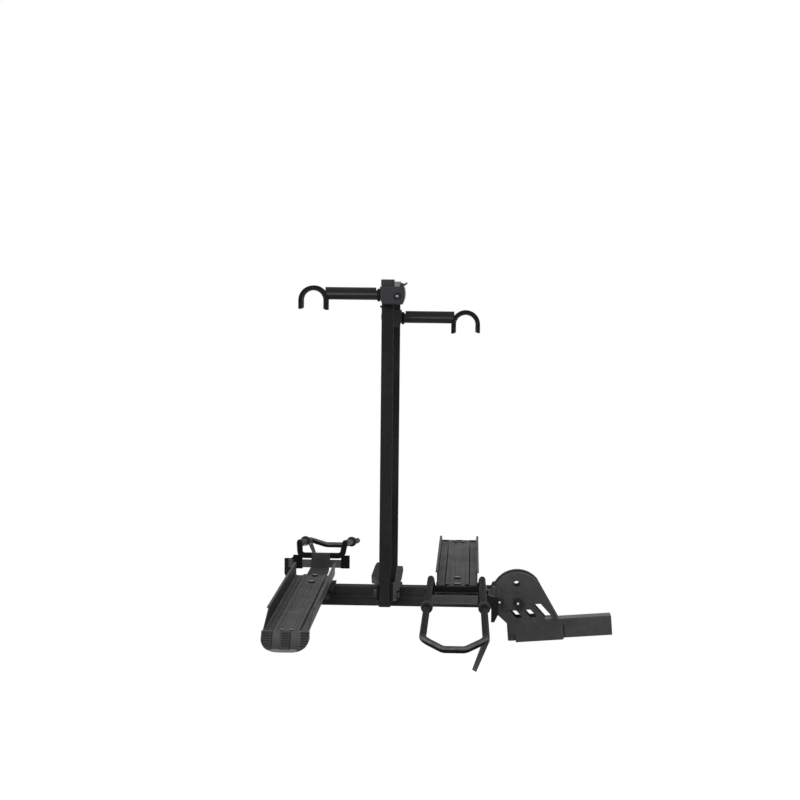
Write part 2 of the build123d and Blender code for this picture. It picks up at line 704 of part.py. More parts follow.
ANGLE_HEAD_FLATS = 17.0
ANGLE_HEAD_HEIGHT = 6.5
BAR_HEAD_DIAMETER = 17.0
BAR_HEAD_HEIGHT = 3.5
BAR_NUT_FLATS = 13.0
BAR_NUT_HEIGHT = 7.0
ANGLE_BOLT_PROUD = 2.5
BAR_BOLT_PROUD = 2.0

with BuildPart() as carrier_bolts:
    for frame in CARRIERS.values():
        face = SPINE_HALF + ANGLE_THICKNESS
        ends = [(-ANGLE_BOLT_SPACING / 2, 0), (ANGLE_BOLT_SPACING / 2, 0)]
        far = face + ANGLE_HEAD_HEIGHT + ANGLE_BOLT_PROUD
        add_rods(front_of(frame, far), ends, ANGLE_BOLT_DIAMETER, far + face + ANGLE_HEAD_HEIGHT)
        add_hex(front_of(frame, -face), ends, ANGLE_HEAD_FLATS, ANGLE_HEAD_HEIGHT)
        add_hex(front_of(frame, face + ANGLE_HEAD_HEIGHT), ends, ANGLE_HEAD_FLATS, ANGLE_HEAD_HEIGHT)
        downs = [(0, y) for y in bar_bolt_places()]
        tray_top = TRAY_FLOOR + TRAY_WALL
        foot = SPINE_HALF - ANGLE_THICKNESS
        low = foot - BAR_NUT_HEIGHT - BAR_BOLT_PROUD
        add_rods(top_of(frame, low), downs, BAR_BOLT_DIAMETER, tray_top + BAR_HEAD_HEIGHT / 2 - low)
        add_rods(top_of(frame, tray_top), downs, BAR_HEAD_DIAMETER, BAR_HEAD_HEIGHT)
        add_hex(top_of(frame, foot - BAR_NUT_HEIGHT), downs, BAR_NUT_FLATS, BAR_NUT_HEIGHT)
save(carrier_bolts, "carrier_bolts")


# Tray nose: a moulded ramp with ribs and two plain tracks.

NOSE_INSET = 2.0
NOSE_WIDTH = TRAY_WIDTH - 2 * NOSE_INSET
NOSE_LEDGE = 6.0
NOSE_TOE = 9.0
NOSE_TONGUE = 40.0
NOSE_TONGUE_WIDTH = 84.0
NOSE_TONGUE_THICKNESS = 4.0
NOSE_TRACK_DEPTH = 4.0
NOSE_RIB_DEPTH = 2.2
NOSE_RIB_SHARE = 0.45
NOSE_RIB_END = 6.0
NOSE_RIB_MARGIN = 2.0
NOSE_SCREW_HEAD = 10.5
NOSE_SCREW_HEAD_HEIGHT = 3.0
NOSE_NUT_FLATS = 10.0
NOSE_NUT_HEIGHT = 5.0
NOSE_SCREW_PROUD = 1.0


def tray_nose(frame):
    back = TRAY_OUTER_END
    front = back + NOSE_LENGTH
    high = TRAY_FLOOR + TRAY_END_HEIGHT
    low = TRAY_FLOOR - NOSE_DROP
    ramp_top = Vector(0, back + NOSE_LEDGE, high)
    ramp_toe = Vector(0, front, low + NOSE_TOE)
    ramp = ramp_toe - ramp_top
    middle = (ramp_top + ramp_toe) * 0.5
    normal = (0, -ramp.Z, ramp.Y)
    ramp_plane = local_plane(frame, (0, middle.Y, middle.Z), (1, 0, 0), normal)
    pitch = (ramp.length - NOSE_RIB_END) / NOSE_RIBS
    track_inner = NOSE_GROOVE_OFFSET - NOSE_GROOVE_WIDTH / 2 - 2 * NOSE_RIB_MARGIN
    track_outer = NOSE_GROOVE_OFFSET + NOSE_GROOVE_WIDTH / 2 + 2 * NOSE_RIB_MARGIN
    side_edge = NOSE_WIDTH / 2 - NOSE_RIB_MARGIN
    panel_edges = [(-side_edge, -track_outer), (-track_inner, track_inner), (track_outer, side_edge)]
    with BuildPart() as nose:
        with BuildSketch(side_of(frame, -NOSE_WIDTH / 2)):
            with BuildLine():
                Polyline(
                    (back, low),
                    (back, high),
                    (ramp_top.Y, high),
                    (ramp_toe.Y, ramp_toe.Z),
                    (front, low),
                    close=True,
                )
            make_face()
        extrude(amount=NOSE_WIDTH)
        with BuildSketch(top_of(frame, low)):
            with Locations((0, back + NOSE_LENGTH / 2 - NOSE_CORNER / 2)):
                RectangleRounded(NOSE_WIDTH, NOSE_LENGTH + NOSE_CORNER, NOSE_CORNER)
        extrude(amount=high - low, mode=Mode.INTERSECT)
        with BuildSketch(ramp_plane):
            with Locations((-NOSE_GROOVE_OFFSET, 0), (NOSE_GROOVE_OFFSET, 0)):
                Rectangle(NOSE_GROOVE_WIDTH, 2 * ramp.length)
        extrude(amount=-NOSE_TRACK_DEPTH, mode=Mode.SUBTRACT)
        with BuildSketch(ramp_plane):
            for left, right in panel_edges:
                with Locations(((left + right) / 2, 0)):
                    with GridLocations(0, pitch, 1, NOSE_RIBS):
                        Rectangle(right - left, pitch * NOSE_RIB_SHARE)
        extrude(amount=-NOSE_RIB_DEPTH, mode=Mode.SUBTRACT)
        with BuildSketch(top_of(frame, TRAY_FLOOR - NOSE_TONGUE_THICKNESS)):
            with Locations((0, back - NOSE_TONGUE / 2)):
                Rectangle(NOSE_TONGUE_WIDTH, NOSE_TONGUE)
            with Locations(*nose_screw_places()):
                Circle(NOSE_SCREW_DIAMETER / 2 + SEAT_GAP, mode=Mode.SUBTRACT)
        extrude(amount=NOSE_TONGUE_THICKNESS)
    return nose


for side, frame in CARRIERS.items():
    save(tray_nose(frame), f"{side}_tray_nose")

with BuildPart() as nose_screws:
    for frame in CARRIERS.values():
        head_seat = TRAY_FLOOR + TRAY_WALL
        nut_top = TRAY_FLOOR - NOSE_TONGUE_THICKNESS
        nut_bottom = nut_top - NOSE_NUT_HEIGHT
        add_rods(top_of(frame, head_seat), nose_screw_places(), NOSE_SCREW_HEAD, NOSE_SCREW_HEAD_HEIGHT)
        low = nut_bottom - NOSE_SCREW_PROUD
        screw_length = head_seat + NOSE_SCREW_PROUD - low
        add_rods(top_of(frame, low), nose_screw_places(), NOSE_SCREW_DIAMETER, screw_length)
        add_hex(top_of(frame, nut_bottom), nose_screw_places(), NOSE_NUT_FLATS, NOSE_NUT_HEIGHT)
save(nose_screws, "nose_screws")


# Wheel hoop: one bent rod, its rear bar seated in the end of the carrier bar.

TAB_WIDTH = 24.0
TAB_THICKNESS = 4.0
TAB_X = 66.0
TAB_BELOW_STRAP = 1.0
TAB_BOTTOM = STRAP_HEIGHT - STRAP_WIDTH / 2 - TAB_BELOW_STRAP


def hoop():
    """The hoop in its carrier's own frame."""
    half = [HOOP_REAR, HOOP_CREST, HOOP_CORNER, HOOP_NOSE]
    route = half + [(-x, y, z) for x, y, z in reversed(half)]
    bends = [HOOP_REAR_BEND, HOOP_CREST_BEND, HOOP_CORNER_BEND, HOOP_NOSE_BEND]
    with BuildPart() as rod:
        with BuildLine() as path:
            FilletPolyline(*route, radius=bends + bends[::-1], close=True)
        loop = path.wire()
        with BuildSketch(Plane(origin=loop @ 0, z_dir=loop % 0)):
            Circle(ROD_RADIUS)
        sweep(path=loop)
        with BuildSketch(front_of(Plane.XY, HOOP_REAR[1] - ROD_RADIUS + TAB_THICKNESS)):
            tab_height = HOOP_REAR[2] - TAB_BOTTOM
            with Locations((-TAB_X, TAB_BOTTOM + tab_height / 2), (TAB_X, TAB_BOTTOM + tab_height / 2)):
                Rectangle(TAB_WIDTH, tab_height)
        extrude(amount=TAB_THICKNESS)
    return rod


for side, frame in CARRIERS.items():
    save_at(hoop(), frame, f"{side}_hoop")


# Wheel strap: a band across the hoop's rear, with its tail under the rod and hanging at the corner.

STRAP_FACE = HOOP_REAR[1] - ROD_RADIUS
BUCKLE_FROM_TAB = 2.0
BUCKLE_X = TAB_X + BUCKLE_FROM_TAB
BUCKLE_LOW = STRAP_HEIGHT - BUCKLE_WIDTH / 2
TAIL_WIDTH = 16.0
TAIL_FROM_CREST = 40.0
TAIL_FROM_CORNER = 20.0
STRAP_PAST_BUCKLE = 8.0
TAIL_DROP = (-26.0, -5.0, -66.0)
# Directions of the hanging tail's sections: across the band, and along it. It turns edge-on as it hangs.
TAIL_START = ((0.8, -0.55, -0.1), (-0.1, -0.6, -1.0))
TAIL_END = ((0.45, -0.88, -0.1), (-0.35, -0.1, -0.93))


def strap(frame):
    left = -TAB_X - TAB_WIDTH / 2
    right = BUCKLE_X + BUCKLE_WIDTH / 2 + STRAP_PAST_BUCKLE
    crest = Vector(*HOOP_CREST)
    corner = Vector(*HOOP_CORNER)
    run = (corner - crest).normalized()
    down = run.cross(Vector(1, 0, 0)).normalized()
    if down.Z > 0:
        down = down * -1
    under = down * (ROD_RADIUS + SEAT_GAP + STRAP_THICKNESS / 2)
    start = crest + run * TAIL_FROM_CREST + under
    bend = corner - run * TAIL_FROM_CORNER + under
    tip = bend + Vector(*TAIL_DROP)
    with BuildPart() as band:
        with BuildSketch(front_of(frame, STRAP_FACE)):
            with Locations(((left + right) / 2, STRAP_HEIGHT)):
                Rectangle(right - left, STRAP_WIDTH)
        extrude(amount=STRAP_THICKNESS)
        with BuildSketch(local_plane(frame, tuple(start), (1, 0, 0), tuple(run))):
            Rectangle(TAIL_WIDTH, STRAP_THICKNESS)
        with BuildSketch(local_plane(frame, tuple(bend), (1, 0, 0), tuple(run))):
            Rectangle(TAIL_WIDTH, STRAP_THICKNESS)
        loft()
        with BuildSketch(local_plane(frame, tuple(bend), *TAIL_START)):
            Rectangle(TAIL_WIDTH, STRAP_THICKNESS)
        with BuildSketch(local_plane(frame, tuple(tip), *TAIL_END)):
            Rectangle(TAIL_WIDTH, STRAP_THICKNESS)
        loft()
    return band


for side, frame in CARRIERS.items():
    save(strap(frame), f"{side}_wheel_strap")


# Ratchet buckle on the hoop's tab, and its lever that swings out on an upright axle.

BUCKLE_FACE = STRAP_FACE - STRAP_THICKNESS
BUCKLE_LEFT = BUCKLE_X - BUCKLE_WIDTH / 2
BUCKLE_HIGH = STRAP_HEIGHT + BUCKLE_WIDTH / 2
BUCKLE_AXLE_INSET = 7.0
BUCKLE_AXLE_DEPTH = 5.0
BUCKLE_RIVET_LAP = 1.5
BUCKLE_AXLE_X = BUCKLE_X + BUCKLE_WIDTH / 2 - BUCKLE_AXLE_INSET
BUCKLE_AXLE_Y = BUCKLE_FACE - BUCKLE_DEPTH + BUCKLE_AXLE_DEPTH
LEVER_KNUCKLE = 9.0
LEVER_PADDLE_THICKNESS = 4.0
LEVER_PADDLE_DROP = 40.0
LEVER_PADDLE_GAP = 3.0
LEVER_PADDLE_SLOPE = 4.0
LEVER_PADDLE_TAPER = 10.0


def buckle_base(frame):
    with BuildPart() as base:
        with BuildSketch(side_of(frame, BUCKLE_LEFT)):
            with BuildLine():
                Polyline(
                    (BUCKLE_FACE - BUCKLE_DEPTH, BUCKLE_LOW),
                    (BUCKLE_FACE, BUCKLE_LOW),
                    (BUCKLE_FACE, BUCKLE_HIGH),
                    (BUCKLE_FACE - BUCKLE_DEPTH, BUCKLE_HIGH),
                    (BUCKLE_FACE - BUCKLE_DEPTH, BUCKLE_HIGH - BUCKLE_WALL),
                    (BUCKLE_FACE - BUCKLE_WALL, BUCKLE_HIGH - BUCKLE_WALL),
                    (BUCKLE_FACE - BUCKLE_WALL, BUCKLE_LOW + BUCKLE_WALL),
                    (BUCKLE_FACE - BUCKLE_DEPTH, BUCKLE_LOW + BUCKLE_WALL),
                    close=True,
                )
            make_face()
        extrude(amount=BUCKLE_WIDTH)
        with BuildSketch(top_of(frame, BUCKLE_LOW + BUCKLE_WALL)):
            with Locations((BUCKLE_AXLE_X, BUCKLE_AXLE_Y)):
                Circle(BUCKLE_AXLE_DIAMETER / 2)
        extrude(amount=BUCKLE_HIGH - BUCKLE_LOW - 2 * BUCKLE_WALL)
        with BuildSketch(top_of(frame, BUCKLE_HIGH)):
            with Locations((BUCKLE_AXLE_X, BUCKLE_AXLE_Y)):
                Circle(BUCKLE_AXLE_DIAMETER / 2 + BUCKLE_RIVET_LAP)
        extrude(amount=BUCKLE_RIVET_LAP)
    return base


def buckle_lever(frame):
    low = BUCKLE_LOW + BUCKLE_WALL + FACE_GAP
    high = BUCKLE_HIGH - BUCKLE_WALL - FACE_GAP
    reach = BUCKLE_AXLE_X + BUCKLE_LEVER_LENGTH / 2
    with BuildPart() as lever:
        with BuildSketch(top_of(frame, low)):
            with Locations((BUCKLE_AXLE_X, BUCKLE_AXLE_Y)):
                Circle(LEVER_KNUCKLE / 2)
            blade_y = BUCKLE_AXLE_Y - LEVER_KNUCKLE / 2 + LEVER_PADDLE_THICKNESS / 2
            with Locations(((BUCKLE_AXLE_X + reach) / 2, blade_y)):
                Rectangle(reach - BUCKLE_AXLE_X, LEVER_PADDLE_THICKNESS)
            with Locations((BUCKLE_AXLE_X, BUCKLE_AXLE_Y)):
                Circle(BUCKLE_AXLE_DIAMETER / 2 + RUNNING_FIT, mode=Mode.SUBTRACT)
        extrude(amount=high - low)
        with BuildSketch(front_of(frame, BUCKLE_AXLE_Y - LEVER_KNUCKLE / 2 + LEVER_PADDLE_THICKNESS)):
            with BuildLine():
                left = BUCKLE_X + BUCKLE_WIDTH / 2 + LEVER_PADDLE_GAP
                Polyline(
                    (left, high),
                    (reach, high - LEVER_PADDLE_SLOPE),
                    (reach, low - LEVER_PADDLE_DROP / 2),
                    (reach - LEVER_PADDLE_TAPER, low - LEVER_PADDLE_DROP),
                    (left, low - LEVER_PADDLE_DROP),
                    close=True,
                )
            make_face()
        extrude(amount=LEVER_PADDLE_THICKNESS)
    return lever


for side, frame in CARRIERS.items():
    save(buckle_base(frame), f"{side}_buckle_base")
    save(buckle_lever(frame), f"{side}_buckle_lever")


# Posts, their brackets on the spine's faces, fold bolts and fold levers.

POST_OUT = SPINE_HALF + BRACKET_BACK + FOLD_REACH
MAST_X = PIVOT.X - MAST_FROM_PIVOT
FRONT_FRAME = Plane(origin=(MAST_X, -POST_OUT, SPINE_Z), x_dir=(1, 0, 0), z_dir=(0, 0, 1))
BACK_FRAME = Plane(origin=(MAST_X + BACK_POST_SHIFT, POST_OUT, SPINE_Z), x_dir=(-1, 0, 0), z_dir=(0, 0, 1))
WALL_INNER = POST_HALF + BRACKET_GAP
WALL_OUTER = WALL_INNER + BRACKET_WALL
FOLD_HEAD_FLATS = 18.0
FOLD_HEAD_HEIGHT = 7.5
FOLD_NUT_HEIGHT = 6.0
FOLD_BOLT_PROUD = 1.0


def post_bracket(frame):
    height = BRACKET_ABOVE + BRACKET_BELOW
    middle = FOLD_AXIS_ABOVE_SPINE + (BRACKET_ABOVE - BRACKET_BELOW) / 2
    depth = FOLD_REACH + BRACKET_BACK + BRACKET_FRONT
    with BuildPart() as bracket:
        with BuildSketch(side_of(frame, -WALL_OUTER)):
            with Locations((FOLD_REACH + BRACKET_BACK - depth / 2, middle)):
                Rectangle(depth, height)
        extrude(amount=2 * WALL_OUTER)
        corners = bracket.edges().filter_by(Axis.X).group_by(Axis(frame.origin, frame.y_dir))[0]
        fillet(corners, BRACKET_CORNER)
        with BuildSketch(top_of(frame, FOLD_AXIS_ABOVE_SPINE - BRACKET_BELOW - PAST)):
            with Locations((0, (FOLD_REACH - BRACKET_FRONT) / 2 - PAST)):
                Rectangle(2 * WALL_INNER, FOLD_REACH + BRACKET_FRONT + 2 * PAST)
        extrude(amount=height + 2 * PAST, mode=Mode.SUBTRACT)
        with BuildSketch(side_of(frame, -WALL_OUTER - PAST)):
            with Locations((0, FOLD_AXIS_ABOVE_SPINE)):
                Circle(FOLD_BOLT_DIAMETER / 2 + SEAT_GAP)
        extrude(amount=2 * WALL_OUTER + 2 * PAST, mode=Mode.SUBTRACT)
    return bracket


def post(frame, top):
    with BuildPart() as tube:
        with BuildSketch(top_of(frame, -POST_FOOT)):
            RectangleRounded(POST_SIDE, POST_SIDE, POST_CORNER)
            Rectangle(POST_SIDE - 2 * POST_WALL, POST_SIDE - 2 * POST_WALL, mode=Mode.SUBTRACT)
        extrude(amount=top + POST_FOOT)
        with BuildSketch(side_of(frame, -POST_SIDE)):
            with Locations((0, FOLD_AXIS_ABOVE_SPINE)):
                Circle(FOLD_BOLT_DIAMETER / 2 + RUNNING_FIT)
        extrude(amount=2 * POST_SIDE, mode=Mode.SUBTRACT)
    return tube


def post_cap(frame, top):
    outer = POST_SIDE + 2 * POST_CAP_WALL
    with BuildPart() as cap:
        with BuildSketch(top_of(frame, top - POST_CAP_SKIRT)):
            RectangleRounded(outer, outer, POST_CORNER + POST_CAP_WALL)
        extrude(amount=POST_CAP_SKIRT + POST_CAP_TOP)
        fillet(cap.faces().sort_by(Axis.Z)[-1].edges(), 2)
        with BuildSketch(top_of(frame, top - POST_CAP_SKIRT)):
            Rectangle(POST_SIDE + 2 * SEAT_GAP, POST_SIDE + 2 * SEAT_GAP)
        extrude(amount=POST_CAP_SKIRT, mode=Mode.SUBTRACT)
    return cap


LEVER_START = WALL_OUTER + SIDE_GAP
LEVER_HUB_END = LEVER_START + LEVER_HUB_WIDTH
LEVER_HUB_RADIUS = LEVER_HUB_DIAMETER / 2
LEVER_NUT_CLEAR = 11.5
# Grip outlines from the hub's outer face round to the neck: across from the post's axis, along the lever.
FRONT_GRIP = [(38.0, 13.0), (42.0, 37.0), (46.6, 64.0), (45.5, 73.0)]
FRONT_GRIP += [(30.0, 73.0), (28.5, 60.0), (26.5, 37.0)]
BACK_GRIP = [(43.0, 12.0), (54.5, 15.0), (54.0, 22.0), (46.3, 55.0)]
BACK_GRIP += [(41.5, 67.0), (26.5, 67.0), (28.0, 45.0)]
LEVER_NECK = 26.0


def fold_lever(frame, grip, lean):
    """A lever on the fold bolt: its hub, and a grip that steps out past the nut."""
    axis = (0, FOLD_AXIS_ABOVE_SPINE)
    tip_radius = LEVER_TIP_DEPTH / 2
    reach = LEVER_LENGTH - tip_radius
    along = (-math.sin(math.radians(lean)), math.cos(math.radians(lean)))
    tip = (reach * along[0], axis[1] + reach * along[1])
    widest = max(x for x, r in grip)
    outline = local_plane(frame, (0, 0, axis[1]), (1, 0, 0), (0, -along[1], along[0]))
    with BuildPart() as lever:
        with BuildSketch(side_of(frame, LEVER_START)):
            with Locations(axis):
                Circle(LEVER_HUB_RADIUS)
            with Locations(tip):
                Circle(tip_radius)
            make_hull()
        extrude(amount=widest - LEVER_START)
        with BuildSketch(outline) as grip_outline:
            with BuildLine():
                Polyline(
                    (LEVER_START, -LEVER_HUB_RADIUS - PAST),
                    (LEVER_HUB_END, -LEVER_HUB_RADIUS - PAST),
                    (LEVER_HUB_END, LEVER_NUT_CLEAR),
                    *grip,
                    (LEVER_START, LEVER_NECK),
                    close=True,
                )
            make_face()
            beyond_hub = [v for v in grip_outline.vertices() if v.Y > LEVER_NUT_CLEAR]
            fillet([v for v in beyond_hub if v.X > LEVER_START + PAST], LEVER_CORNER)
        extrude(amount=LEVER_HUB_DIAMETER, both=True, mode=Mode.INTERSECT)
        with BuildSketch(side_of(frame, LEVER_START - PAST)):
            with Locations(axis):
                Circle(FOLD_BOLT_DIAMETER / 2 + RUNNING_FIT)
        extrude(amount=LEVER_HUB_WIDTH + 2 * PAST, mode=Mode.SUBTRACT)
    return lever


def add_fold_bolt(frame):
    axis = [(0, FOLD_AXIS_ABOVE_SPINE)]
    nut_face = LEVER_HUB_END + FACE_GAP
    end = nut_face + FOLD_NUT_HEIGHT + FOLD_BOLT_PROUD
    add_hex(side_of(frame, -WALL_OUTER - FOLD_HEAD_HEIGHT), axis, FOLD_HEAD_FLATS, FOLD_HEAD_HEIGHT)
    add_rods(side_of(frame, -WALL_OUTER), axis, FOLD_BOLT_DIAMETER, end + WALL_OUTER)
    add_hex(side_of(frame, nut_face), axis, FOLD_HEAD_FLATS, FOLD_NUT_HEIGHT)


POSTS = {
    "front": (FRONT_FRAME, FRONT_POST_TOP, FRONT_GRIP, 0.0),
    "back": (BACK_FRAME, BACK_POST_TOP, BACK_GRIP, BACK_LEVER_LEAN),
}

with BuildPart() as fold_bolts:
    for frame in (FRONT_FRAME, BACK_FRAME):
        add_fold_bolt(frame)
save(fold_bolts, "fold_bolts")

for side, (frame, top, grip, lean) in POSTS.items():
    save(post_bracket(frame), f"{side}_post_bracket")
    save(post(frame, top), f"{side}_post")
    save(post_cap(frame, top), f"{side}_post_cap")
    save(fold_lever(frame, grip, lean), f"{side}_fold_lever")


# Arm heads: a sleeve round the post, a cover with the arm socket, the arm, its hook and pad.

HOLE_HALF = POST_HALF + HEAD_POST_GAP
ARM_SOCKET_END = 12.0
COVER_MIDDLE = -(HEAD_SPLIT + HEAD_OUTER) / 2
RELEASE_EAR_THICKNESS = 3.0
RELEASE_EAR_WALL = 2.0
HEAD_SHOULDER = 0.6


class Head:
    """One head's place and the sizes that differ from the other's."""

    def __init__(self, frame, bottom, lock_side, barrel_x):
        self.frame = frame
        self.bottom = bottom
        self.lock_side = lock_side
        self.barrel_x = barrel_x
        self.top = bottom + HEAD_HEIGHT
        self.release = (lock_side - RELEASE_FROM_SIDE, self.top + RELEASE_HUB_RADIUS + FACE_GAP)
        self.barrel = (barrel_x, bottom + LOCK_BARREL_HEIGHT)
        self.arm = (-ARM_OFFSET, bottom + ARM_HEIGHT)
        self.hook = (-ARM_REACH, bottom + ARM_HEIGHT - HOOK_RADIUS / 2)


def head_block(head, near, far):
    """Front outline of a head, cut from the outer side at near to the spine side at far."""
    bottom, top, lock_side = head.bottom, head.top, head.lock_side
    with BuildPart() as block:
        with BuildSketch(front_of(head.frame, far)) as outline:
            with BuildLine():
                Polyline(
                    (lock_side - HEAD_EDGE, top),
                    (-HEAD_ARM_SIDE, top),
                    (-HEAD_ARM_SIDE, bottom + 2 * HEAD_TAPER),
                    (-HEAD_ARM_SIDE + HEAD_TAPER, bottom),
                    (lock_side - HEAD_TAPER, bottom),
                )
                ThreePointArc(
                    (lock_side - HEAD_TAPER, bottom),
                    (lock_side, bottom + HEAD_HEIGHT * HEAD_SHOULDER),
                    (lock_side - HEAD_EDGE, top),
                )
            make_face()
            fillet(outline.vertices().group_by(Axis.Y)[-1], HEAD_EDGE)
        extrude(amount=far - near)
    return block


def head_sleeve(head):
    with BuildPart() as sleeve:
        add(head_block(head, -HEAD_SPLIT, HEAD_INNER).part)
        with BuildSketch(top_of(head.frame, head.bottom - PAST)):
            Rectangle(2 * HOLE_HALF, 2 * HOLE_HALF)
        extrude(amount=HEAD_HEIGHT + 2 * PAST, mode=Mode.SUBTRACT)
    return sleeve


def head_cover(head):
    frame = head.frame
    ear_near = COVER_MIDDLE + RELEASE_WIDTH / 2 + RELEASE_EAR_THICKNESS
    with BuildPart() as cover:
        add(head_block(head, -HEAD_OUTER, -HEAD_SPLIT).part)
        outer_face = cover.faces().sort_by(Axis(frame.origin, frame.y_dir))[0]
        fillet(outer_face.edges(), HEAD_EDGE)
        with BuildSketch(side_of(frame, -HEAD_ARM_SIDE)):
            with Locations(head.arm):
                Circle(ARM_DIAMETER / 2 + SEAT_GAP)
        extrude(amount=HEAD_ARM_SIDE + ARM_SOCKET_END, mode=Mode.SUBTRACT)
        with BuildSketch(front_of(frame, -HEAD_OUTER + LOCK_BARREL_DEPTH)):
            with Locations(head.barrel):
                Circle(LOCK_BARREL_DIAMETER / 2 + SEAT_GAP)
        extrude(amount=LOCK_BARREL_DEPTH + PAST, mode=Mode.SUBTRACT)
        pin_length = RELEASE_WIDTH + 2 * RELEASE_EAR_THICKNESS
        add_rods(front_of(frame, ear_near), [head.release], RELEASE_PIN_DIAMETER, pin_length)
        for ear_y in (ear_near, ear_near - RELEASE_WIDTH - RELEASE_EAR_THICKNESS):
            with BuildSketch(front_of(frame, ear_y)):
                with Locations(head.release):
                    Circle(RELEASE_PIN_DIAMETER / 2 + RELEASE_EAR_WALL)
                with Locations((head.release[0], head.top)):
                    Rectangle(RELEASE_PIN_DIAMETER + 2 * RELEASE_EAR_WALL, 2 * RELEASE_HUB_RADIUS)
            extrude(amount=RELEASE_EAR_THICKNESS)
    return cover


# Release tab outline from its hub: under side out to the tip, then back over the top.
RELEASE_TAB = [(6.5, -3.3), (9.5, -1.6), (14.8, 3.4), (12.0, 6.4), (7.0, 2.2)]


def release_lever(head):
    x, z = head.release
    start_y = COVER_MIDDLE + RELEASE_WIDTH / 2 - FACE_GAP
    with BuildPart() as lever:
        with BuildSketch(front_of(head.frame, start_y)):
            with Locations((x, z)):
                Circle(RELEASE_HUB_RADIUS)
            with BuildLine():
                Polyline(
                    (x, z - RELEASE_HUB_RADIUS + FACE_GAP),
                    *[(x + across, z + up) for across, up in RELEASE_TAB],
                    (x, z + RELEASE_HUB_RADIUS - FACE_GAP),
                    close=True,
                )
            make_face()
            with Locations((x, z)):
                Circle(RELEASE_PIN_DIAMETER / 2 + RUNNING_FIT, mode=Mode.SUBTRACT)
        extrude(amount=RELEASE_WIDTH - 2 * FACE_GAP)
    return lever


KEYWAY_DEPTH = 3.0


def lock_barrel(head):
    face = -HEAD_OUTER - LOCK_BARREL_PROUD
    with BuildPart() as barrel:
        with BuildSketch(front_of(head.frame, -HEAD_OUTER + LOCK_BARREL_DEPTH)):
            with Locations(head.barrel):
                Circle(LOCK_BARREL_DIAMETER / 2)
        extrude(amount=LOCK_BARREL_DEPTH + LOCK_BARREL_PROUD)
        with BuildSketch(front_of(head.frame, face + KEYWAY_DEPTH)):
            with Locations(head.barrel):
                Rectangle(KEYWAY_WIDTH, LOCK_BARREL_DIAMETER / 2)
        extrude(amount=KEYWAY_DEPTH + PAST, mode=Mode.SUBTRACT)
    return barrel


def arm(head):
    reach = ARM_REACH - HOOK_RADIUS
    frame = head.frame
    rail_low = head.arm[1] + ARM_DIAMETER / 2 - ARM_WALL
    rail_high = head.arm[1] + ARM_DIAMETER / 2 + ARM_RAIL_HEIGHT
    rail_end = -HEAD_ARM_SIDE - COLLAR_LENGTH - ARM_RAIL_GAP
    with BuildPart() as tube:
        with BuildSketch(side_of(frame, -reach)):
            with Locations((-ARM_OFFSET, (rail_low + rail_high) / 2)):
                Rectangle(ARM_RAIL_WIDTH, rail_high - rail_low)
        extrude(amount=reach + rail_end)
        fillet(tube.edges().filter_by(Axis.X).group_by(Axis.Z)[-1], ARM_RAIL_WIDTH / 4)
        with BuildSketch(side_of(frame, -reach)):
            with Locations(head.arm):
                Circle(ARM_DIAMETER / 2)
        extrude(amount=reach + ARM_SOCKET_END - SEAT_GAP)
        with BuildSketch(side_of(frame, -reach)):
            with Locations(head.arm):
                Circle(ARM_DIAMETER / 2 - ARM_WALL)
        extrude(amount=reach + ARM_SOCKET_END, mode=Mode.SUBTRACT)
        with BuildSketch(front_of(frame, 0)):
            with Locations(head.hook):
                Circle(HOOK_RADIUS + HOOK_THICKNESS + SEAT_GAP)
        extrude(amount=2 * ARM_OFFSET, mode=Mode.SUBTRACT)
    return tube


def arm_collar(head):
    with BuildPart() as collar:
        with BuildSketch(side_of(head.frame, -HEAD_ARM_SIDE)):
            with Locations(head.arm):
                Circle(COLLAR_DIAMETER / 2)
                Circle(ARM_DIAMETER / 2 + SEAT_GAP, mode=Mode.SUBTRACT)
        extrude(amount=-COLLAR_LENGTH)
        outer_end = collar.faces().sort_by(Axis(head.frame.origin, head.frame.x_dir))[0]
        chamfer(outer_end.outer_wire().edges(), COLLAR_EDGE)
    return collar


def arch(head, inner, outer, arm_leg, far_leg, width):
    """An arch in the arm's plane, open downwards: two legs under a half ring."""
    x, z = head.hook
    with BuildPart() as shape:
        with BuildSketch(front_of(head.frame, -ARM_OFFSET + width / 2)):
            with BuildLine():
                Polyline((x + inner, z), (x + inner, z - arm_leg), (x + outer, z - arm_leg), (x + outer, z))
                ThreePointArc((x + outer, z), (x, z + outer), (x - outer, z))
                Polyline((x - outer, z), (x - outer, z - far_leg), (x - inner, z - far_leg), (x - inner, z))
                ThreePointArc((x - inner, z), (x, z + inner), (x + inner, z))
            make_face()
        extrude(amount=width)
    return shape


def hook(head):
    outer = HOOK_RADIUS + HOOK_THICKNESS
    return arch(head, HOOK_RADIUS, outer, HOOK_ARM_LEG, HOOK_OUTER_LEG, HOOK_WIDTH)


def hook_pad(head):
    outer = HOOK_RADIUS - SEAT_GAP
    arm_leg = HOOK_ARM_LEG - PAD_SHORT
    outer_leg = HOOK_OUTER_LEG - PAD_SHORT
    return arch(head, outer - PAD_THICKNESS, outer, arm_leg, outer_leg, HOOK_WIDTH)


HEADS = {
    "front": Head(FRONT_FRAME, FRONT_HEAD_BOTTOM, FRONT_LOCK_SIDE, FRONT_BARREL_X),
    "back": Head(BACK_FRAME, BACK_HEAD_BOTTOM, BACK_LOCK_SIDE, BACK_BARREL_X),
}
HEAD_PIECES = {
    "head_sleeve": head_sleeve,
    "head_cover": head_cover,
    "release_lever": release_lever,
    "lock_barrel": lock_barrel,
    "arm": arm,
    "arm_collar": arm_collar,
    "hook": hook,
    "hook_pad": hook_pad,
}

for side, head in HEADS.items():
    for name, make in HEAD_PIECES.items():
        save(make(head), f"{side}_{name}")
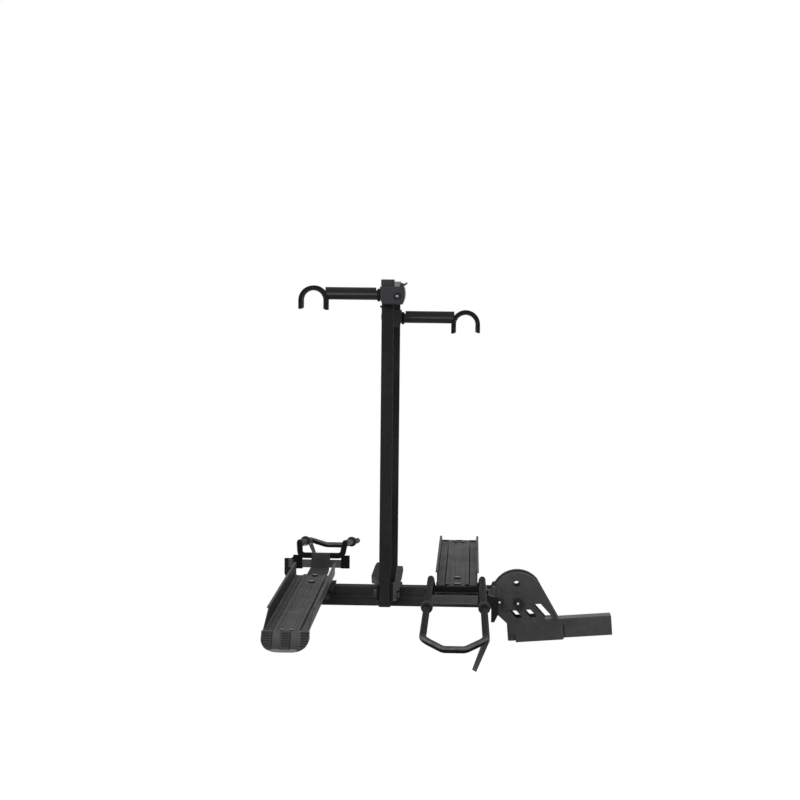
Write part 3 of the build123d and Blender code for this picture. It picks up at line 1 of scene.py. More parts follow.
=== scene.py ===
"""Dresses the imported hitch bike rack: camera, studio, materials and the small forms over the CAD nodes.

Camera, lamps and floor are in metres. Places and pieces are in millimetres until finish_piece, which turns
them into metres.
"""

import json
import math

import bmesh
import bpy
from mathutils import Matrix, Vector


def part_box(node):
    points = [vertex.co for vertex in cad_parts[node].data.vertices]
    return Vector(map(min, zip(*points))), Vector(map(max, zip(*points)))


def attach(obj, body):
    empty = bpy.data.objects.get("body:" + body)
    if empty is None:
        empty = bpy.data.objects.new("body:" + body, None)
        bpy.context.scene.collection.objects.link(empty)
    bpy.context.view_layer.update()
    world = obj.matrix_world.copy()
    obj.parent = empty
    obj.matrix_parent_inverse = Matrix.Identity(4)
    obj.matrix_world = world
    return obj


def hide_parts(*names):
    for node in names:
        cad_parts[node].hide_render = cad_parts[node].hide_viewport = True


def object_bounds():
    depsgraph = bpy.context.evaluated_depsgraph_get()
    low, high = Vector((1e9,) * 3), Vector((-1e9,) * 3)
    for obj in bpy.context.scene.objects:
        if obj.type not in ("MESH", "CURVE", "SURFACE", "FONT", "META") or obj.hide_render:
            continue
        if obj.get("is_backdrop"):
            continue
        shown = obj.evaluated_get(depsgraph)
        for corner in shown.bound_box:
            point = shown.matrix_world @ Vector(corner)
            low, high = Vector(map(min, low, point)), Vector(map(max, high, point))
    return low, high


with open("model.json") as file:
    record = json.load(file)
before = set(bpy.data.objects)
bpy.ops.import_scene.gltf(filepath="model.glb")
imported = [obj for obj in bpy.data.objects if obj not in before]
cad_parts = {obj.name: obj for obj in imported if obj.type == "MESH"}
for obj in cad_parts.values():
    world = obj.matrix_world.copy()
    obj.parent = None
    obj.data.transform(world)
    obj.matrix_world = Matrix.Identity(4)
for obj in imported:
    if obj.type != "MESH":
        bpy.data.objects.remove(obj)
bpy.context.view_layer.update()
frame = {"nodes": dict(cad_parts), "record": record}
NODES = frame["nodes"]
MM = 0.001


# Camera, at the photograph's viewing angle.

CAMERA_PLACE = (-0.3143, -4.93, 0.9195)
CAMERA_FOCAL_PIXELS = 1903.0
PICTURE_PIXELS = 800.0
SENSOR_MM = 36.0
VANISH_RIGHT = 70.0
VANISH_UP = 132.0
AIM_RIGHT = 1.7
AIM_DOWN = 1.7
ROLL_DEGREES = 0.6

camera_data = bpy.data.cameras.new("camera")
camera_data.sensor_width = SENSOR_MM
camera_data.lens = CAMERA_FOCAL_PIXELS / PICTURE_PIXELS * SENSOR_MM
camera = bpy.data.objects.new("camera", camera_data)
bpy.context.scene.collection.objects.link(camera)
yaw = math.atan(VANISH_RIGHT / CAMERA_FOCAL_PIXELS) + AIM_RIGHT / CAMERA_FOCAL_PIXELS
pitch = math.atan(VANISH_UP / CAMERA_FOCAL_PIXELS) - AIM_DOWN / CAMERA_FOCAL_PIXELS
turned = Matrix.Rotation(yaw, 4, "Z") @ Matrix.Rotation(math.pi / 2 - pitch, 4, "X")
rolled = Matrix.Rotation(math.radians(ROLL_DEGREES), 4, "Z")
camera.matrix_world = Matrix.Translation(CAMERA_PLACE) @ turned @ rolled
bpy.context.scene.camera = camera
bpy.context.scene.view_settings.view_transform = "Standard"


# Node helpers.


class Graph:
    """A small builder of shader nodes. Its numbers may be plain values or the outputs of other nodes."""

    def __init__(self, tree):
        self.tree = tree
        tree.nodes.clear()

    def put(self, node, key, value):
        socket = node.inputs[key]
        if isinstance(value, bpy.types.NodeSocket):
            self.tree.links.new(value, socket)
        else:
            socket.default_value = value

    def add(self, kind, *values, settings=None, **inputs):
        """A node with its inputs given in order, or by name with underscores for spaces."""
        node = self.tree.nodes.new(kind)
        for key, value in (settings or {}).items():
            setattr(node, key, value)
        named = [(key.replace("_", " "), value) for key, value in inputs.items()]
        for key, value in [*enumerate(values), *named]:
            self.put(node, key, value)
        return node

    def math(self, operation, a, b=0.0, c=0.0, clamp=False):
        settings = {"operation": operation, "use_clamp": clamp}
        return self.add("ShaderNodeMath", a, b, c, settings=settings).outputs[0]

    def product(self, first, *others):
        for other in others:
            first = self.math("MULTIPLY", first, other)
        return first

    def ramp(self, value, low, high, out_low=0.0, out_high=1.0):
        settings = {"interpolation_type": "SMOOTHSTEP"}
        node = self.add("ShaderNodeMapRange", value, low, high, out_low, out_high, settings=settings)
        return node.outputs[0]

    def share(self, value, low, high):
        """How far the value has come from low to high, from 0 to 1 in a straight line."""
        return self.add("ShaderNodeMapRange", value, low, high, 0.0, 1.0).outputs[0]

    def band(self, value, start, finish, soft):
        """One between start and finish and nought outside, with soft ends."""
        rising = self.ramp(value, start - soft, start + soft)
        return self.product(rising, self.ramp(value, finish - soft, finish + soft, 1.0, 0.0))

    def blend(self, factor, a, b):
        node = self.add("ShaderNodeMix", factor, settings={"data_type": "RGBA"})
        for key, value in ((6, a), (7, b)):
            self.put(node, key, (*value[:3], 1.0) if isinstance(value, tuple) else value)
        return node.outputs[2]

    def noise(self, place, scale, detail=3.0, rough=0.5):
        node = self.add("ShaderNodeTexNoise", Vector=place, Scale=scale, Detail=detail, Roughness=rough)
        return node.outputs["Fac"]

    def place(self):
        return self.add("ShaderNodeTexCoord").outputs["Object"]

    def normal(self):
        return self.add("ShaderNodeNewGeometry").outputs["Normal"]

    def axis(self, vector, name):
        return self.add("ShaderNodeSeparateXYZ", Vector=vector).outputs[name]


def new_material(name):
    material = bpy.data.materials.new(name)
    material.use_nodes = True
    return material, Graph(material.node_tree)


# Finishes: each is procedural, with colour drift, grain in bump and roughness, and the marks of use.

TONE = 0.18
ROUGH_SPREAD = 0.08
MARK_SAMPLES = 4
CREVICE_REACH = 0.02
CREVICE_SHARE = 0.6
DUST_COLOUR = (0.16, 0.155, 0.145)
WORN_RADIUS = 0.0012
# Turn and stretch of the two families of fine scratches.
SCRATCH_RUNS = ((0.6, (30.0, 900.0, 300.0)), (-0.9, (700.0, 40.0, 500.0)))


def shade(colour, factor):
    return tuple(min(1.0, channel * factor) for channel in colour)


def dust_mask(graph, place, amount):
    """Dust in patches on the faces that look up, and in the crevices."""
    samples = {"samples": MARK_SAMPLES}
    occlusion = graph.add("ShaderNodeAmbientOcclusion", settings=samples, Distance=CREVICE_REACH)
    up = graph.ramp(graph.axis(graph.normal(), "Z"), 0.2, 0.95)
    patch = graph.ramp(graph.noise(place, 22.0, 5.0, 0.65), 0.42, 0.72)
    crevice = graph.product(graph.ramp(occlusion.outputs["AO"], 0.75, 0.25), amount * CREVICE_SHARE)
    return graph.math("ADD", graph.product(up, patch, amount), crevice, clamp=True)


def scratch_mask(graph, place, amount):
    """Fine lines in two directions, in sparse groups."""
    runs = []
    for turn, stretch in SCRATCH_RUNS:
        moved = graph.add("ShaderNodeMapping", Vector=place, Rotation=(turn, 0.3, turn), Scale=stretch)
        runs.append(graph.ramp(graph.noise(moved.outputs[0], 1.0, 1.0, 0.3), 0.7, 0.76))
    sparse = graph.ramp(graph.noise(place, 14.0, 2.0), 0.52, 0.68)
    return graph.product(graph.math("MAXIMUM", *runs), sparse, amount)


def worn_mask(graph, place, amount):
    """Ragged wear along the edges, where a small bevel turns the normal."""
    bevel = graph.add("ShaderNodeBevel", settings={"samples": MARK_SAMPLES}, Radius=WORN_RADIUS)
    settings = {"operation": "DOT_PRODUCT"}
    facing = graph.add("ShaderNodeVectorMath", bevel.outputs[0], graph.normal(), settings=settings)
    edge = graph.ramp(facing.outputs["Value"], 0.995, 0.88)
    ragged = graph.ramp(graph.noise(place, 180.0, 5.0, 0.7), 0.48, 0.66)
    return graph.product(edge, ragged, amount)


def finish_material(
    name,
    colour,
    rough,
    grain,
    grain_bump,
    grain_depth=0.00012,
    metal=0.0,
    specular=0.5,
    wear=None,
    wear_amount=0.0,
    dust=0.0,
    scratches=0.0,
    brushed=None,
    tint=None,
):
    """A finish. Brushed is the stretch of its brush lines, and tint changes the base colour by place."""
    material, graph = new_material(name)
    place = graph.place()
    drift = graph.noise(place, 7.0, 4.0, 0.55)
    mottle = graph.noise(place, 60.0, 3.0, 0.6)
    mix = graph.math("MULTIPLY_ADD", mottle, 0.35, graph.product(drift, 0.65))
    base = graph.blend(graph.ramp(mix, 0.35, 0.65), shade(colour, 1 - TONE), shade(colour, 1 + TONE))
    if tint:
        base = tint(graph, place, base)
    roughness = graph.ramp(mix, 0.3, 0.7, rough - ROUGH_SPREAD, rough + ROUGH_SPREAD)
    height = graph.product(graph.noise(place, grain, 2.0, 0.5), grain_bump)
    if brushed:
        stretched = graph.add("ShaderNodeMapping", Vector=place, Scale=brushed).outputs[0]
        lines = graph.noise(stretched, 1.0, 4.0, 0.6)
        base = graph.blend(graph.ramp(lines, 0.4, 0.75), base, shade(colour, 0.72))
        smoother = graph.math("SUBTRACT", roughness, 0.12)
        roughness = graph.math("MULTIPLY_ADD", lines, 0.25, smoother, clamp=True)
        height = graph.math("MULTIPLY_ADD", lines, 0.35, height)
    if dust:
        mask = dust_mask(graph, place, dust)
        base = graph.blend(mask, base, DUST_COLOUR)
        roughness = graph.math("ADD", roughness, graph.product(mask, 0.25), clamp=True)
    if scratches:
        mask = scratch_mask(graph, place, scratches)
        base = graph.blend(mask, base, shade(colour, 2.4))
        roughness = graph.math("SUBTRACT", roughness, graph.product(mask, 0.12), clamp=True)
        height = graph.math("SUBTRACT", height, graph.product(mask, 0.15))
    if wear_amount:
        mask = worn_mask(graph, place, wear_amount)
        base = graph.blend(mask, base, wear or shade(colour, 3.0))
        roughness = graph.math("SUBTRACT", roughness, graph.product(mask, 0.1), clamp=True)
    bump = graph.add("ShaderNodeBump", Strength=1.0, Distance=grain_depth, Height=height)
    shader = graph.add(
        "ShaderNodeBsdfPrincipled", Base_Color=base, Metallic=metal, Roughness=roughness,
        Specular_IOR_Level=specular, Normal=bump.outputs[0],
    )
    graph.add("ShaderNodeOutputMaterial", Surface=shader.outputs[0])
    return material


# A painted highlight on the hoop's front bar, paler where the bar faces up, broken up by noise.
HOOP_FRONT_Y = 0.735
HOOP_FRONT_FADE = 0.03
FRONT_BAR_HIGHLIGHT = (0.15, 0.15, 0.155)


def front_bar_highlight(graph, place, base):
    """A painted highlight along the hoop's front bar, on the side that faces up and outward."""
    reach = graph.math("ABSOLUTE", graph.axis(place, "Y"))
    front = graph.ramp(reach, HOOP_FRONT_Y, HOOP_FRONT_Y + HOOP_FRONT_FADE)
    up = graph.axis(graph.normal(), "Z")
    facing = graph.product(graph.ramp(up, -0.05, 0.3), graph.ramp(up, 0.55, 0.95, 1.0, 0.35))
    ragged = graph.ramp(graph.noise(place, 90.0, 4.0, 0.6), 0.3, 0.6, 0.55, 1.0)
    return graph.blend(graph.product(front, facing, ragged), base, FRONT_BAR_HIGHLIGHT)


STEEL = (0.42, 0.42, 0.43)
COAT = {"grain": 800, "grain_bump": 0.6, "wear": STEEL}
BARE_COAT = {"grain": 800, "grain_bump": 0.5, "dust": 0.02, "scratches": 0.3}
MOULDED = {"grain": 1600, "grain_bump": 0.9, "wear_amount": 0.2}
FINE_MOULDED = {"grain": 1400, "grain_bump": 0.8}
PLATED = {"grain": 1500, "grain_bump": 0.3}
NOSE_BLACK = ((0.026, 0.026, 0.028), 0.5)
NOSE_WEAR = {**MOULDED, "dust": 0.12, "specular": 0.3}

MATERIALS = {
    "frame_paint": finish_material(
        "powder_coat", (0.062, 0.062, 0.0645), 0.46, **COAT, wear_amount=0.2, dust=0.05, scratches=0.25,
        specular=0.1,
    ),
    "post_paint": finish_material(
        "post_coat", (0.026, 0.0265, 0.0265), 0.78, **COAT, wear_amount=0.08, dust=0.03, scratches=0.35,
        specular=0.02,
    ),
    "tray_paint": finish_material(
        "tray_coat", (0.026, 0.026, 0.0275), 0.5, **COAT, wear_amount=0.2, dust=0.05, scratches=0.3,
        specular=0.06,
    ),
    "spine_paint": finish_material(
        "spine_coat", (0.035, 0.0355, 0.037), 0.66, **COAT, wear_amount=0.15, dust=0.03, scratches=0.3,
        specular=0.02,
    ),
    "rod_paint": finish_material("rod_coat", (0.011, 0.011, 0.0115), 0.5, **BARE_COAT, specular=0.04),
    "hoop_paint": finish_material(
        "hoop_coat", (0.0075, 0.0075, 0.008), 0.52, **BARE_COAT, specular=0.025, tint=front_bar_highlight,
    ),
    "arm_paint": finish_material(
        "arm_coat", (0.006, 0.006, 0.0065), 0.28, grain=800, grain_bump=0.25, scratches=0.2, specular=0.2,
    ),
    "black_plastic": finish_material("black_moulding", *NOSE_BLACK, **NOSE_WEAR),
    "housing_plastic": finish_material(
        "housing_moulding", (0.0115, 0.0125, 0.015), 0.5, **MOULDED, dust=0.1, specular=0.25,
    ),
    "cap_brown": finish_material(
        "brown_moulding", (0.036, 0.026, 0.0275), 0.5, **FINE_MOULDED, wear_amount=0.1, dust=0.05,
        specular=0.2,
    ),
    "cap_grey": finish_material(
        "grey_moulding", (0.23, 0.23, 0.237), 0.5, **FINE_MOULDED, wear_amount=0.2, dust=0.1, specular=0.3,
    ),
    "buckle_black": finish_material(
        "buckle_moulding", (0.008, 0.008, 0.009), 0.45, **FINE_MOULDED, wear_amount=0.15, dust=0.08,
        specular=0.1,
    ),
    "bezel_black": finish_material(
        "bezel_moulding", (0.004, 0.004, 0.005), 0.35, grain=1400, grain_bump=0.4, specular=0.2,
    ),
    "strap_plastic": finish_material(
        "strap_moulding", (0.065, 0.065, 0.067), 0.46, grain=1200, grain_bump=0.6, dust=0.1, scratches=0.2,
        specular=0.3,
    ),
    "grip_rubber": finish_material(
        "soft_grip", (0.012, 0.012, 0.0125), 0.7, grain=700, grain_bump=1.4, grain_depth=0.00025, dust=0.15,
        specular=0.25,
    ),
    "zinc_black": finish_material(
        "black_zinc", (0.022, 0.022, 0.024), 0.34, grain=1500, grain_bump=0.4, metal=0.7, wear=STEEL,
        wear_amount=0.6, dust=0.08, specular=0.25,
    ),
    "bolt_black": finish_material("bolt_plating", (0.005, 0.005, 0.0055), 0.36, **PLATED, specular=0.2),
    "barrel_black": finish_material(
        "barrel_plating", (0.012, 0.012, 0.013), 0.35, **PLATED, metal=0.4, specular=0.2,
    ),
    "lock_metal": finish_material(
        "lock_face", (0.6, 0.6, 0.62), 0.3, **PLATED, metal=1.0, brushed=(40.0, 40.0, 2200.0),
    ),
}

# Finishes by a part of the node's name, over the one of the record's slot. The last match wins.
NODE_FINISHES = {
    "lock_barrel": "barrel_black",
    "buckle_lever": "buckle_black",
    "buckle_base": "buckle_black",
    "_hoop": "hoop_paint",
    "_arm": "arm_paint",
    "_hook": "rod_paint",
    "arm_collar": "rod_paint",
    "spine_tube": "spine_paint",
    "carrier_bar": "spine_paint",
    "carrier_angles": "spine_paint",
    "post_bracket": "rod_paint",
    "_tray": "tray_paint",
    "tray_nose": "black_plastic",
    "hook_pad": "grip_rubber",
    "tilt_washers": "frame_paint",
    "tilt_pivot_bolt": "bolt_black",
    "lock_pin": "bolt_black",
    "lock_pin_guide": "frame_paint",
}
SLOTS = {item["node"]: item["material_slot"] for item in frame["record"]["subparts"]}

for node_name, node in NODES.items():
    finishes = [SLOTS[node_name]] + [value for key, value in NODE_FINISHES.items() if key in node_name]
    node.data.materials.clear()
    node.data.materials.append(MATERIALS[finishes[-1]])


# Softened edges on the CAD nodes, in millimetres by a part of the node's name. The first match wins.

EDGE_ANGLE = math.radians(32)
WELD_DISTANCE = 0.00001
PLAIN_EDGE = 0.6
EDGE_SIZES = {
    "tray": 0.5,
    "hook_pad": 0.8,
    "head": 0.7,
    "post_cap": 0.8,
    "lever": 0.7,
    "shank": 0.9,
    "washers": 0.4,
}


def weld_points(obj):
    obj.modifiers.new("weld", "WELD").merge_threshold = WELD_DISTANCE


def soften(obj, width):
    for polygon in obj.data.polygons:
        polygon.use_smooth = True
    weld_points(obj)
    bevel = obj.modifiers.new("edges", "BEVEL")
    bevel.width = width * MM
    bevel.segments = 2
    bevel.limit_method = "ANGLE"
    bevel.angle_limit = EDGE_ANGLE
    bevel.use_clamp_overlap = True
    bevel.harden_normals = True
    even = obj.modifiers.new("normals", "WEIGHTED_NORMAL")
    even.keep_sharp = True
    even.weight = 80


for node_name, node in NODES.items():
    soften(node, next((size for key, size in EDGE_SIZES.items() if key in node_name), PLAIN_EDGE))


# Places that the pieces share with the CAD.

X, Y, Z = Vector((1, 0, 0)), Vector((0, 1, 0)), Vector((0, 0, 1))
HITCH_PITCH = math.radians(4.5)
HITCH_X = Vector((math.cos(HITCH_PITCH), 0.0, math.sin(HITCH_PITCH)))
HITCH_Z = Vector((-math.sin(HITCH_PITCH), 0.0, math.cos(HITCH_PITCH)))
PIVOT_BACK = 182.0
PIVOT_RISE = 76.0
SPINE_RISE = 8.0
PIVOT = HITCH_Z * PIVOT_RISE - HITCH_X * PIVOT_BACK
SPINE_Z = PIVOT.z + SPINE_RISE
SPINE_HALF = 25.0
SHANK_HALF = 25.4
FLANGE_FROM_PIVOT = 88.0
CARRIER_FROM_PIVOT = {"right": 158.0, "left": 535.0}
POST_FROM_PIVOT = {"front": 344.0, "back": 332.0}
POST_FROM_SPINE = 67.0
ROD_RADIUS = 8.0


def hitch_point(x, y, z):
    """A point given from the pivot along the pitched hitch."""
    return PIVOT + HITCH_X * x + HITCH_Z * z + Y * y


class Place:
    """A frame of the CAD: an origin at the height of the spine's axis, and a half turn or none."""

    def __init__(self, x, y, turn):
        self.origin = Vector((x, y, SPINE_Z))
        self.turn = turn

    def at(self, x, y, z):
        return self.origin + self.along(x, y, z)

    def along(self, x, y, z):
        return Vector((self.turn * x, self.turn * y, z))


CARRIERS = {
    "right": Place(PIVOT.x - CARRIER_FROM_PIVOT["right"], 0.0, 1),
    "left": Place(PIVOT.x - CARRIER_FROM_PIVOT["left"], 0.0, -1),
}
POSTS = {
    "front": Place(PIVOT.x - POST_FROM_PIVOT["front"], -POST_FROM_SPINE, 1),
    "back": Place(PIVOT.x - POST_FROM_PIVOT["back"], POST_FROM_SPINE, -1),
}


# Mesh helpers.

SMOOTH_ANGLE = math.radians(40)
MERGE_DISTANCE = 0.0005
BEAD_STEP = 0.85
BEAD_SIDES = 10
BEAD_PITCH = 3.4
RIB_EASE = 0.35
RIB_END_STEPS = 4


def finish_piece(name, bm, body, material):
    bmesh.ops.remove_doubles(bm, verts=bm.verts, dist=MERGE_DISTANCE)
    bmesh.ops.recalc_face_normals(bm, faces=bm.faces)
    bmesh.ops.scale(bm, vec=(MM, MM, MM), verts=bm.verts)
    mesh = bpy.data.meshes.new(name)
    bm.to_mesh(mesh)
    bm.free()
    for polygon in mesh.polygons:
        polygon.use_smooth = True
    mesh.materials.append(material)
    mesh.set_sharp_from_angle(angle=SMOOTH_ANGLE)
    obj = bpy.data.objects.new(name, mesh)
    bpy.context.scene.collection.objects.link(obj)
    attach(obj, body)


def bridge(bm, rings, closed=False):
    """Walls from each ring to the next, and an end face on each end unless the run is closed."""
    pairs = list(zip(rings, rings[1:]))
    if closed:
        pairs.append((rings[-1], rings[0]))
    for low, high in pairs:
        for step in range(len(low)):
            nxt = (step + 1) % len(low)
            bm.faces.new((low[step], low[nxt], high[nxt], high[step]))
    if not closed:
        bm.faces.new(rings[0][::-1])
        bm.faces.new(rings[-1])


def add_ring(bm, centre, side, other, radii):
    """A ring of points round the centre, one for each radius."""
    ring = []
    for step, radius in enumerate(radii):
        angle = 2 * math.pi * step / len(radii)
        ring.append(bm.verts.new(centre + (side * math.cos(angle) + other * math.sin(angle)) * radius))
    return ring


def add_bead(bm, start, finish, radius):
    """A straight weld bead: a run of overlapping ripples that thins out at both ends."""
    count = max(1, round((finish - start).length / BEAD_STEP))
    direction = (finish - start).normalized()
    side = direction.orthogonal().normalized()
    other = direction.cross(side)
    rings = []
    for index in range(count + 1):
        travelled = index * BEAD_STEP
        ripple = 0.16 * abs(math.sin(math.pi * travelled / BEAD_PITCH)) + 0.07 * math.sin(travelled * 0.37)
        taper = min(1.0, 0.45 + 0.2 * min(index, count - index))
        reach = radius * (1.0 + ripple) * taper
        centre = start.lerp(finish, index / count)
        rings.append(add_ring(bm, centre, side, other, [reach] * BEAD_SIDES))
    bridge(bm, rings)


def add_lathe(bm, centre, axis, side, profile, segments, closed=False, wave=None):
    """A turned form: profile pairs are radius and height. Wave changes the radius by angle and height."""
    axis = axis.normalized()
    side = (side - axis * side.dot(axis)).normalized()
    other = axis.cross(side)
    rings = []
    for radius, height in profile:
        radii = [radius] * segments
        if wave and radius:
            radii = [radius + wave(2 * math.pi * step / segments, height) for step in range(segments)]
        rings.append(add_ring(bm, centre + axis * height, side, other, radii))
    bridge(bm, rings, closed)


def add_rib(bm, centre, across, along, up, width, length, height):
    """A rib with drawn-in shoulders and rounded ends, its foot at the centre."""
    half_width, half_length = width / 2, length / 2
    levels = [
        (0.0, 1.0, 0.0),
        (height * 0.7, 1.0 - RIB_EASE * 0.35, RIB_EASE * 0.4),
        (height, 1.0 - RIB_EASE, RIB_EASE),
    ]
    rings = []
    for rise, share, inset in levels:
        reach = half_width * share
        end = half_length - half_width * (1 + inset)
        ring = []
        for sign in (1, -1):
            for step in range(RIB_END_STEPS + 1):
                angle = math.pi * step / RIB_END_STEPS - math.pi / 2
                x = sign * reach * math.sin(angle)
                y = sign * (end + reach * math.cos(angle))
                ring.append(bm.verts.new(centre + across * x + along * y + up * rise))
        rings.append(ring)
    bridge(bm, rings)


# Weld beads of the hitch, from the pivot: up the ends of the plates' strips and along under the shank.

BEAD_PROUD = 0.6
STRIP_WELDS = ((113.4, -98.5, -64.0), (-12.6, -99.5, -88.0))
STRIP_WELD_RADIUS = 2.0
UNDER_WELD_X = (-4.0, 106.0)
UNDER_WELD_Z = -102.2
UNDER_WELD_INSET = 0.8
UNDER_WELD_RADIUS = 1.9

bm = bmesh.new()
for turn in (-1, 1):
    face = turn * (SHANK_HALF + BEAD_PROUD)
    for x, low, high in STRIP_WELDS:
        add_bead(bm, hitch_point(x, face, low), hitch_point(x, face, high), STRIP_WELD_RADIUS)
    under = turn * (SHANK_HALF - UNDER_WELD_INSET)
    add_bead(bm, *[hitch_point(x, under, UNDER_WELD_Z) for x in UNDER_WELD_X], UNDER_WELD_RADIUS)
# The hitch's beads take the darker rod paint, a painted shade for the contact shadow beside the strips' ends.
finish_piece("hitch_weld_beads", bm, "hitch", MATERIALS["rod_paint"])


# Weld beads of the spine: on the flange, the two post brackets and the hoops' seats.

FLANGE_WELD_X = PIVOT.x - FLANGE_FROM_PIVOT - BEAD_PROUD
FLANGE_WELD_HALF = 23.0
FLANGE_WELD_RADIUS = 2.2
BRACKET_BACK = POST_FROM_SPINE - SPINE_HALF - BEAD_PROUD
BRACKET_WALL = 21.2
BRACKET_WALL_Z = (-4.0, 22.0)
BRACKET_WELD_HALF = 18.0
BRACKET_WELD_RADIUS = 1.9
# Places along y and z of the beads under and over the bracket, and of the two on a hoop's seat.
BRACKET_WELDS = ((BRACKET_BACK, -5.4), (BRACKET_BACK + 0.9, 25.6))
SEAT_WELDS = ((-256.0, 68.4), (-255.2, 54.6))
SEAT_WELD_HALF = 24.0
SEAT_WELD_RADIUS = 2.1

bm = bmesh.new()
for turn in (-1, 1):
    side_y = turn * (SPINE_HALF + BEAD_PROUD)
    middle = Vector((FLANGE_WELD_X, side_y, SPINE_Z))
    add_bead(bm, middle - Z * FLANGE_WELD_HALF, middle + Z * FLANGE_WELD_HALF, FLANGE_WELD_RADIUS)
for place in POSTS.values():
    for x in (-BRACKET_WALL, BRACKET_WALL):
        add_bead(bm, *[place.at(x, BRACKET_BACK, z) for z in BRACKET_WALL_Z], BRACKET_WELD_RADIUS)
    for y, z in BRACKET_WELDS:
        ends = [place.at(x, y, z) for x in (-BRACKET_WELD_HALF, BRACKET_WELD_HALF)]
        add_bead(bm, *ends, BRACKET_WELD_RADIUS)
for place in CARRIERS.values():
    for y, z in SEAT_WELDS:
        ends = [place.at(x, y, z) for x in (-SEAT_WELD_HALF, SEAT_WELD_HALF)]
        add_bead(bm, *ends, SEAT_WELD_RADIUS)
finish_piece("spine_weld_beads", bm, "spine", MATERIALS["frame_paint"])


# Threads that stand out past the nuts: radius, length and pitch of each.

PIVOT_THREAD = (8.0, 2.7, 2.0)
PIVOT_NUT_FACE = 53.7
ANGLE_THREAD = (5.0, 2.2, 1.5)
ANGLE_BOLT_X = 38.0
ANGLE_NUT_FACE = 36.5
TRAY_THREAD = (4.0, 1.7, 1.25)
TRAY_BOLT_Y = 51.5
TRAY_NUT_Z = 13.0
FOLD_THREAD = (6.0, 0.7, 1.5)
FOLD_NUT_FACE = 36.6
FOLD_BOLT_Z = 15.0
THREAD_SIDES = 28
ROWS_PER_TURN = 6
THREAD_DEPTH = 0.3
THREAD_ROOT = -0.12
THREAD_SINK = 0.4
TIP_INSET = 0.9
TIP_LENGTH = 0.25


def add_thread(bm, centre, axis, radius, length, pitch):
    """The end of a bolt: a helical thread and a narrower tip."""
    rows = max(8, int(length / pitch * ROWS_PER_TURN))
    profile = [(radius - 0.35, -THREAD_SINK)]
    profile += [(radius, length * row / rows) for row in range(rows)]
    profile += [(radius - TIP_INSET, length + TIP_LENGTH), (0.0, length + TIP_LENGTH)]

    def wave(angle, height):
        phase = (height / pitch - angle / (2 * math.pi)) % 1.0
        return THREAD_ROOT + THREAD_DEPTH * (1 - abs(2 * phase - 1)) if 0 <= height < length else 0.0

    add_lathe(bm, centre, axis, axis.orthogonal(), profile, THREAD_SIDES, wave=wave)


bm = bmesh.new()
add_thread(bm, hitch_point(0, PIVOT_NUT_FACE, 0), Y, *PIVOT_THREAD)
finish_piece("pivot_bolt_thread", bm, "hitch", MATERIALS["zinc_black"])

bm = bmesh.new()
for place in CARRIERS.values():
    for x in (-ANGLE_BOLT_X, ANGLE_BOLT_X):
        add_thread(bm, place.at(x, ANGLE_NUT_FACE, 0), place.along(0, 1, 0), *ANGLE_THREAD)
    for y in (-TRAY_BOLT_Y, TRAY_BOLT_Y):
        add_thread(bm, place.at(0, y, TRAY_NUT_Z), -Z, *TRAY_THREAD)
for place in POSTS.values():
    add_thread(bm, place.at(FOLD_NUT_FACE, 0, FOLD_BOLT_Z), place.along(1, 0, 0), *FOLD_THREAD)
finish_piece("spine_bolt_threads", bm, "spine", MATERIALS["zinc_black"])


# The crowned face of the pivot bolt's head, with its bright button. Profiles are radius and height.

PIVOT_HEAD_FACE = -50.7
PIVOT_CROWN = [(9.6, -0.3), (9.2, 0.25), (6.4, 0.4), (4.8, 0.15), (3.6, 0.15), (0.0, 0.15)]
PIVOT_BUTTON = [(3.0, 0.0), (2.9, 0.5), (2.2, 0.8), (1.0, 0.95), (0.0, 1.0)]

head = hitch_point(0, PIVOT_HEAD_FACE, 0)
bm = bmesh.new()
add_lathe(bm, head, -Y, HITCH_X, PIVOT_CROWN, segments=36)
finish_piece("pivot_bolt_crown", bm, "hitch", MATERIALS["bolt_black"])
bm = bmesh.new()
add_lathe(bm, head, -Y, HITCH_X, PIVOT_BUTTON, segments=28)
finish_piece("pivot_bolt_button", bm, "hitch", MATERIALS["lock_metal"])


# Knurled grip and bright button on the lock pin's knob.

LOCK_ANGLE = math.radians(174)
LOCK_RADIUS = 48.0
KNURL_SET_BACK = 1.8
KNURL_PROFILE = [(9.5, 0.2), (9.7, 0.0), (10.0, 0.5), (10.0, 5.2), (9.7, 5.8), (9.5, 5.6)]
KNURL_TEETH = 24
KNURL_DEPTH = 0.45
KNOB_BUTTON = [(2.6, -0.4), (2.5, 0.35), (1.8, 0.7), (0.9, 0.85), (0.0, 0.9)]


def knurl(angle, height):
    return KNURL_DEPTH * max(0.0, math.sin(KNURL_TEETH * angle))


knob = PIVOT + (X * math.cos(LOCK_ANGLE) + Z * math.sin(LOCK_ANGLE)) * LOCK_RADIUS
knob.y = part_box("lock_pin")[0].y / MM
bm = bmesh.new()
add_lathe(bm, knob + Y * KNURL_SET_BACK, Y, X, KNURL_PROFILE, segments=96, closed=True, wave=knurl)
finish_piece("lock_knob_knurl", bm, "lock_pin", MATERIALS["bolt_black"])
bm = bmesh.new()
add_lathe(bm, knob, -Y, X, KNOB_BUTTON, segments=28)
finish_piece("lock_knob_button", bm, "lock_pin", MATERIALS["lock_metal"])


# Tray noses: the CAD nose with its lower corners rounded off along its length.

TOE_WIDTH = 40.0
TOE_HEIGHT = 27.0
TOE_STEPS = 12
CUT_PAST_FACE = 4.0
CUT_PAST_END = 3.0

